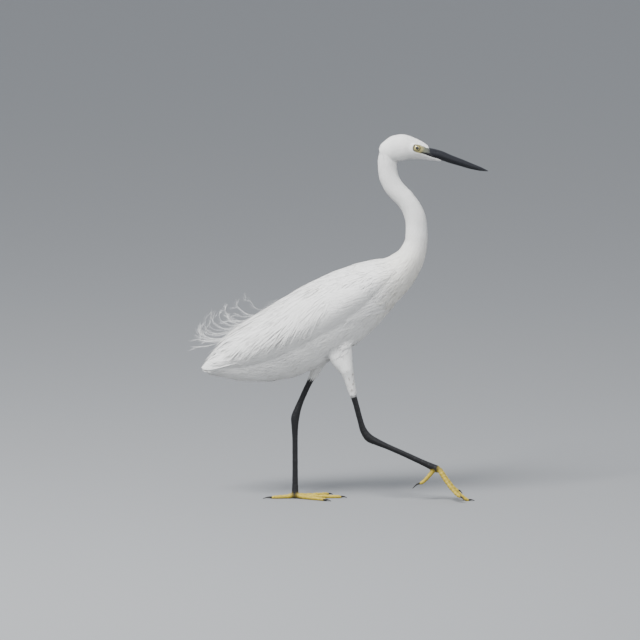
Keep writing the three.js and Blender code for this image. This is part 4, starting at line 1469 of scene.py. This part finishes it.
def makeBill(upper):
    # A ring round the bill's path from one edge of the gape to the other, closed by a flat floor;
    # the culmen stands up a little, and the nostril and its groove are pressed in beside it
    b = billSettings
    rows = np.linspace(0, billPath["last"], 150)
    centre, _, depth, width, halfDepth, halfWidth = pathFrame(billPath, rows)
    offset = gapeHeight(centre[:, 0]) - centre[:, 2] + (b["gap"] if upper else -b["gap"])
    edge = np.arccos(np.clip(offset / halfDepth, -0.93, 0.93))
    arc = np.linspace(0, 1, 41)
    if upper:
        angle = lerp(-edge[:, None], edge[:, None], arc)
    else:
        angle = lerp(edge[:, None], 2 * np.pi - edge[:, None], arc)
    x = centre[:, :1]
    tall = halfDepth[:, None] * np.cos(angle)
    wide = halfWidth[:, None] * np.sin(angle) * (1.0 if upper else b["tuck"])
    if upper:
        tall = tall * (1 + b["ridge"] * np.exp(-(angle / b["ridgeWidth"]) ** 2))
        wide = wide * (1 - 0.10 * np.exp(-((np.abs(angle) - 0.55) / 0.35) ** 2))
        ahead, aside = x - b["nostril"][0], np.abs(angle) - b["nostril"][1]
        long, slim = b["nostrilSize"]
        slit = np.exp(-(ahead / long) ** 4 - (aside / slim) ** 2)
        groove = np.exp(-(aside / b["grooveWidth"]) ** 2) * smoothStep(x, 144, 150)
        press = b["nostrilDepth"] * slit + b["groove"] * groove * (1 - smoothStep(x, 165, 195))
        wide = wide - np.sign(angle) * press
    edgeTall, edgeWide = tall[:, [-1, 0]], wide[:, [-1, 0]]
    inner = np.linspace(0, 1, 8)[1:-1]
    tall = np.concatenate([tall, lerp(edgeTall[:, :1], edgeTall[:, 1:], inner)], 1)
    wide = np.concatenate([wide, lerp(edgeWide[:, :1], edgeWide[:, 1:], inner)], 1)
    grid = centre[:, None] + depth[:, None] * tall[..., None] + width[:, None] * wide[..., None]
    travel = np.append(0, np.cumsum(np.linalg.norm(np.diff(centre, axis=0), axis=1))) * 0.1
    own = crossed(travel, np.arange(grid.shape[1]) / grid.shape[1])
    piece = buildTube("billUpperHorn" if upper else "billLowerHorn", grid, own,
                      [[travel[0], 0.5], [travel[-1], 0.5]])
    return finishPiece(piece, billHorn, "bill", "bill_upper" if upper else "bill_lower")


makeBill(True)
makeBill(False)

# Eyes: a ball with a bulging cornea, its map telling the angle off the axis, and a lid ring round it

lidSettings = dict(opening=37, long=3.0, width=1.5, thick=0.5, raised=0.16, slope=0.55,
                   wrinkle=0.05, wrinkles=23, rimWidth=0.07, rim=(0.03, 0.03, 0.025))
eyeLook = dict(outward=(0.10, 1.0, 0.02), ahead=(1.0, 0, -0.35), cornea=0.28, corneaWidth=0.55, inset=0.1)


def onBall(hand, off, turn, radius):
    # Places on the eyeball by the angle off its axis and the turn round it
    outward = unit(np.array(eyeLook["outward"]) * [1, hand, 1])
    ahead = unit(np.array(eyeLook["ahead"]) - outward * np.dot(eyeLook["ahead"], outward))
    over = np.cross(outward, ahead)
    centre = np.array([eyeSettings["x"], hand * eyeSettings["side"], eyeSettings["z"]])
    ring = np.cos(turn)[..., None] * ahead + np.sin(turn)[..., None] * over
    return centre + (radius * np.cos(off))[..., None] * outward + (radius * np.sin(off))[..., None] * ring


def makeEye(hand):
    off, turn = crossed(np.linspace(0.03, np.pi - 0.03, 64), aroundRing(64))
    bulge = eyeLook["cornea"] * np.exp(-(off / eyeLook["corneaWidth"]) ** 2)
    radius = eyeSettings["radius"] + bulge - eyeLook["inset"]
    piece = buildTube(sided("eyeBall", hand), onBall(hand, off, turn, radius),
                      (off / (np.pi / 2), turn / (2 * np.pi)), [[0, 0], [2, 0]])
    return finishPiece(piece, eyeWet, "eyes", "eye_" + sideNames[hand])


def makeLid(hand):
    # A flattened ring: its middle runs round the opening, a little longer ahead and behind
    s = lidSettings
    turn, part = crossed(aroundRing(96), aroundRing(20))
    opening = math.radians(s["opening"]) + math.radians(s["long"]) * np.cos(2 * turn)
    half = 0.5 * s["width"] / eyeSettings["radius"]
    wrinkle = s["wrinkle"] * np.sin(s["wrinkles"] * turn) * np.sin(part)
    off = opening + half * (1 + np.cos(part))
    ridge = (s["thick"] + wrinkle) * np.sin(part)
    radius = eyeSettings["radius"] + s["raised"] + ridge - s["slope"] * (off - opening)
    grid = onBall(hand, off, turn, radius)
    rings, around = grid.shape[:2]
    k, m = crossed(np.arange(rings), np.arange(around))
    a, b = k * around, ((k + 1) % rings) * around
    faces = np.stack([a + m, a + (m + 1) % around, b + (m + 1) % around, b + m], -1).reshape(-1, 4)
    points = grid.reshape(-1, 3)
    starts = np.arange(len(faces)) * 4
    corners = facesOutward(points, faces.ravel(), starts)
    rim = np.exp(-((off - opening) / s["rimWidth"]) ** 2).reshape(-1)
    tone = blend(plainTone(len(points), 0.75, "eyeSkin"), s["rim"], 0.9 * rim)
    piece = buildMesh(sided("eyeLid", hand), points, corners, starts, None, tone)
    return finishPiece(piece, skinTone, "eyes")


for hand in (-1, 1):
    makeEye(hand)
    makeLid(hand)


# Claws


def makeClaw(name, hand, length):
    # A tapering tube on the claw's curve, its cross section pinched into a blunt edge below
    path = makePath(clawRows(toeRows(hand, *toeNames[name][:2]), length))
    u, v = crossed(np.linspace(0, path["last"], 48), aroundRing(20))
    centre, _, depth, width, halfDepth, halfWidth = pathFrame(path, u)
    out = halfWidth * np.sin(v) * (1 - clawSettings["pinch"] * np.maximum(np.cos(v), 0))
    grid = centre + depth * (halfDepth * np.cos(v))[..., None] + width * out[..., None]
    grid[..., 2] = np.maximum(grid[..., 2], clawSettings["lowest"])
    piece = buildTube(sided("claw" + name.title(), hand), grid, (u * 0.07, v / (2 * np.pi)),
                      [[0, 0.5], [0.9, 0.5]])
    return finishPiece(piece, clawHorn, "claws", f"claw_{name}_{sideNames[hand]}")


for name, hand in toePaths:
    makeClaw(name, hand, toeNames[name][2])
print("bill, eyes and claws made")


# Floor, light and camera

# each light's place in metres, power in watts and size
stageSettings = dict(floor=(0.20, 0.205, 0.21), floorEdge=14.0, world=(0.68, 0.71, 0.76), worldStrength=1.5,
                     lights=dict(key=((-1.0, -1.3, 2.5), 200, 1.1), fill=((1.9, -1.8, 0.8), 16, 1.8)),
                     aim=(0, 0, 0.26))


def aimed(piece, place, target):
    piece.location = place
    piece.rotation_euler = (target - place).to_track_quat("-Z", "Y").to_euler()
    return piece


def makeStage():
    s = stageSettings
    edge = s["floorEdge"]
    mesh = bpy.data.meshes.new("floor")
    # a flat floor, wide enough to fill the picture from any side
    corners = [(-edge, -edge, 0), (edge, -edge, 0), (edge, edge, 0), (-edge, edge, 0)]
    mesh.from_pydata(corners, [], [(0, 1, 2, 3)])
    floor = addObject("floor", mesh)
    floor.data.materials.append(newMaterial("floorPale", s["floor"], 0.85, Specular_IOR_Level=0.2)[0])
    world = bpy.data.worlds.new("studio")
    world.use_nodes = True
    sky = world.node_tree.nodes["Background"]
    sky.inputs["Color"].default_value = (*s["world"], 1)
    sky.inputs["Strength"].default_value = s["worldStrength"]
    bpy.context.scene.world = world
    for name, (place, power, size) in s["lights"].items():
        light = bpy.data.lights.new(name, "AREA")
        light.energy = power
        light.size = size
        aimed(addObject(name, light), Vector(place), Vector(s["aim"]))


cameraSettings = dict(pixels=640, pixel=1.333, floorLine=500, elevation=8.0, distance=10.0, sensor=36.0,
                      clipEnd=100)


def makeCamera():
    # The picture is 640 pixels of 1.333 mm across, seen from the right side and 8 degrees up, and the
    # floor under the bird meets its middle plane on the floor line
    c = cameraSettings
    width = c["pixels"] * c["pixel"]
    turn = math.radians(c["elevation"])
    middle = (c["floorLine"] - c["pixels"] / 2) * c["pixel"] / math.cos(turn)
    aim = Vector((frameShift * millimetre, 0, middle * millimetre))
    camera = bpy.data.cameras.new("camera")
    camera.sensor_width = c["sensor"]
    camera.lens = c["sensor"] * c["distance"] * metre / width
    camera.clip_end = c["clipEnd"]
    place = aim + Vector((0, -math.cos(turn), math.sin(turn))) * c["distance"]
    bpy.context.scene.camera = aimed(addObject("camera", camera), place, aim)


makeStage()
makeCamera()
print("stage and camera set")
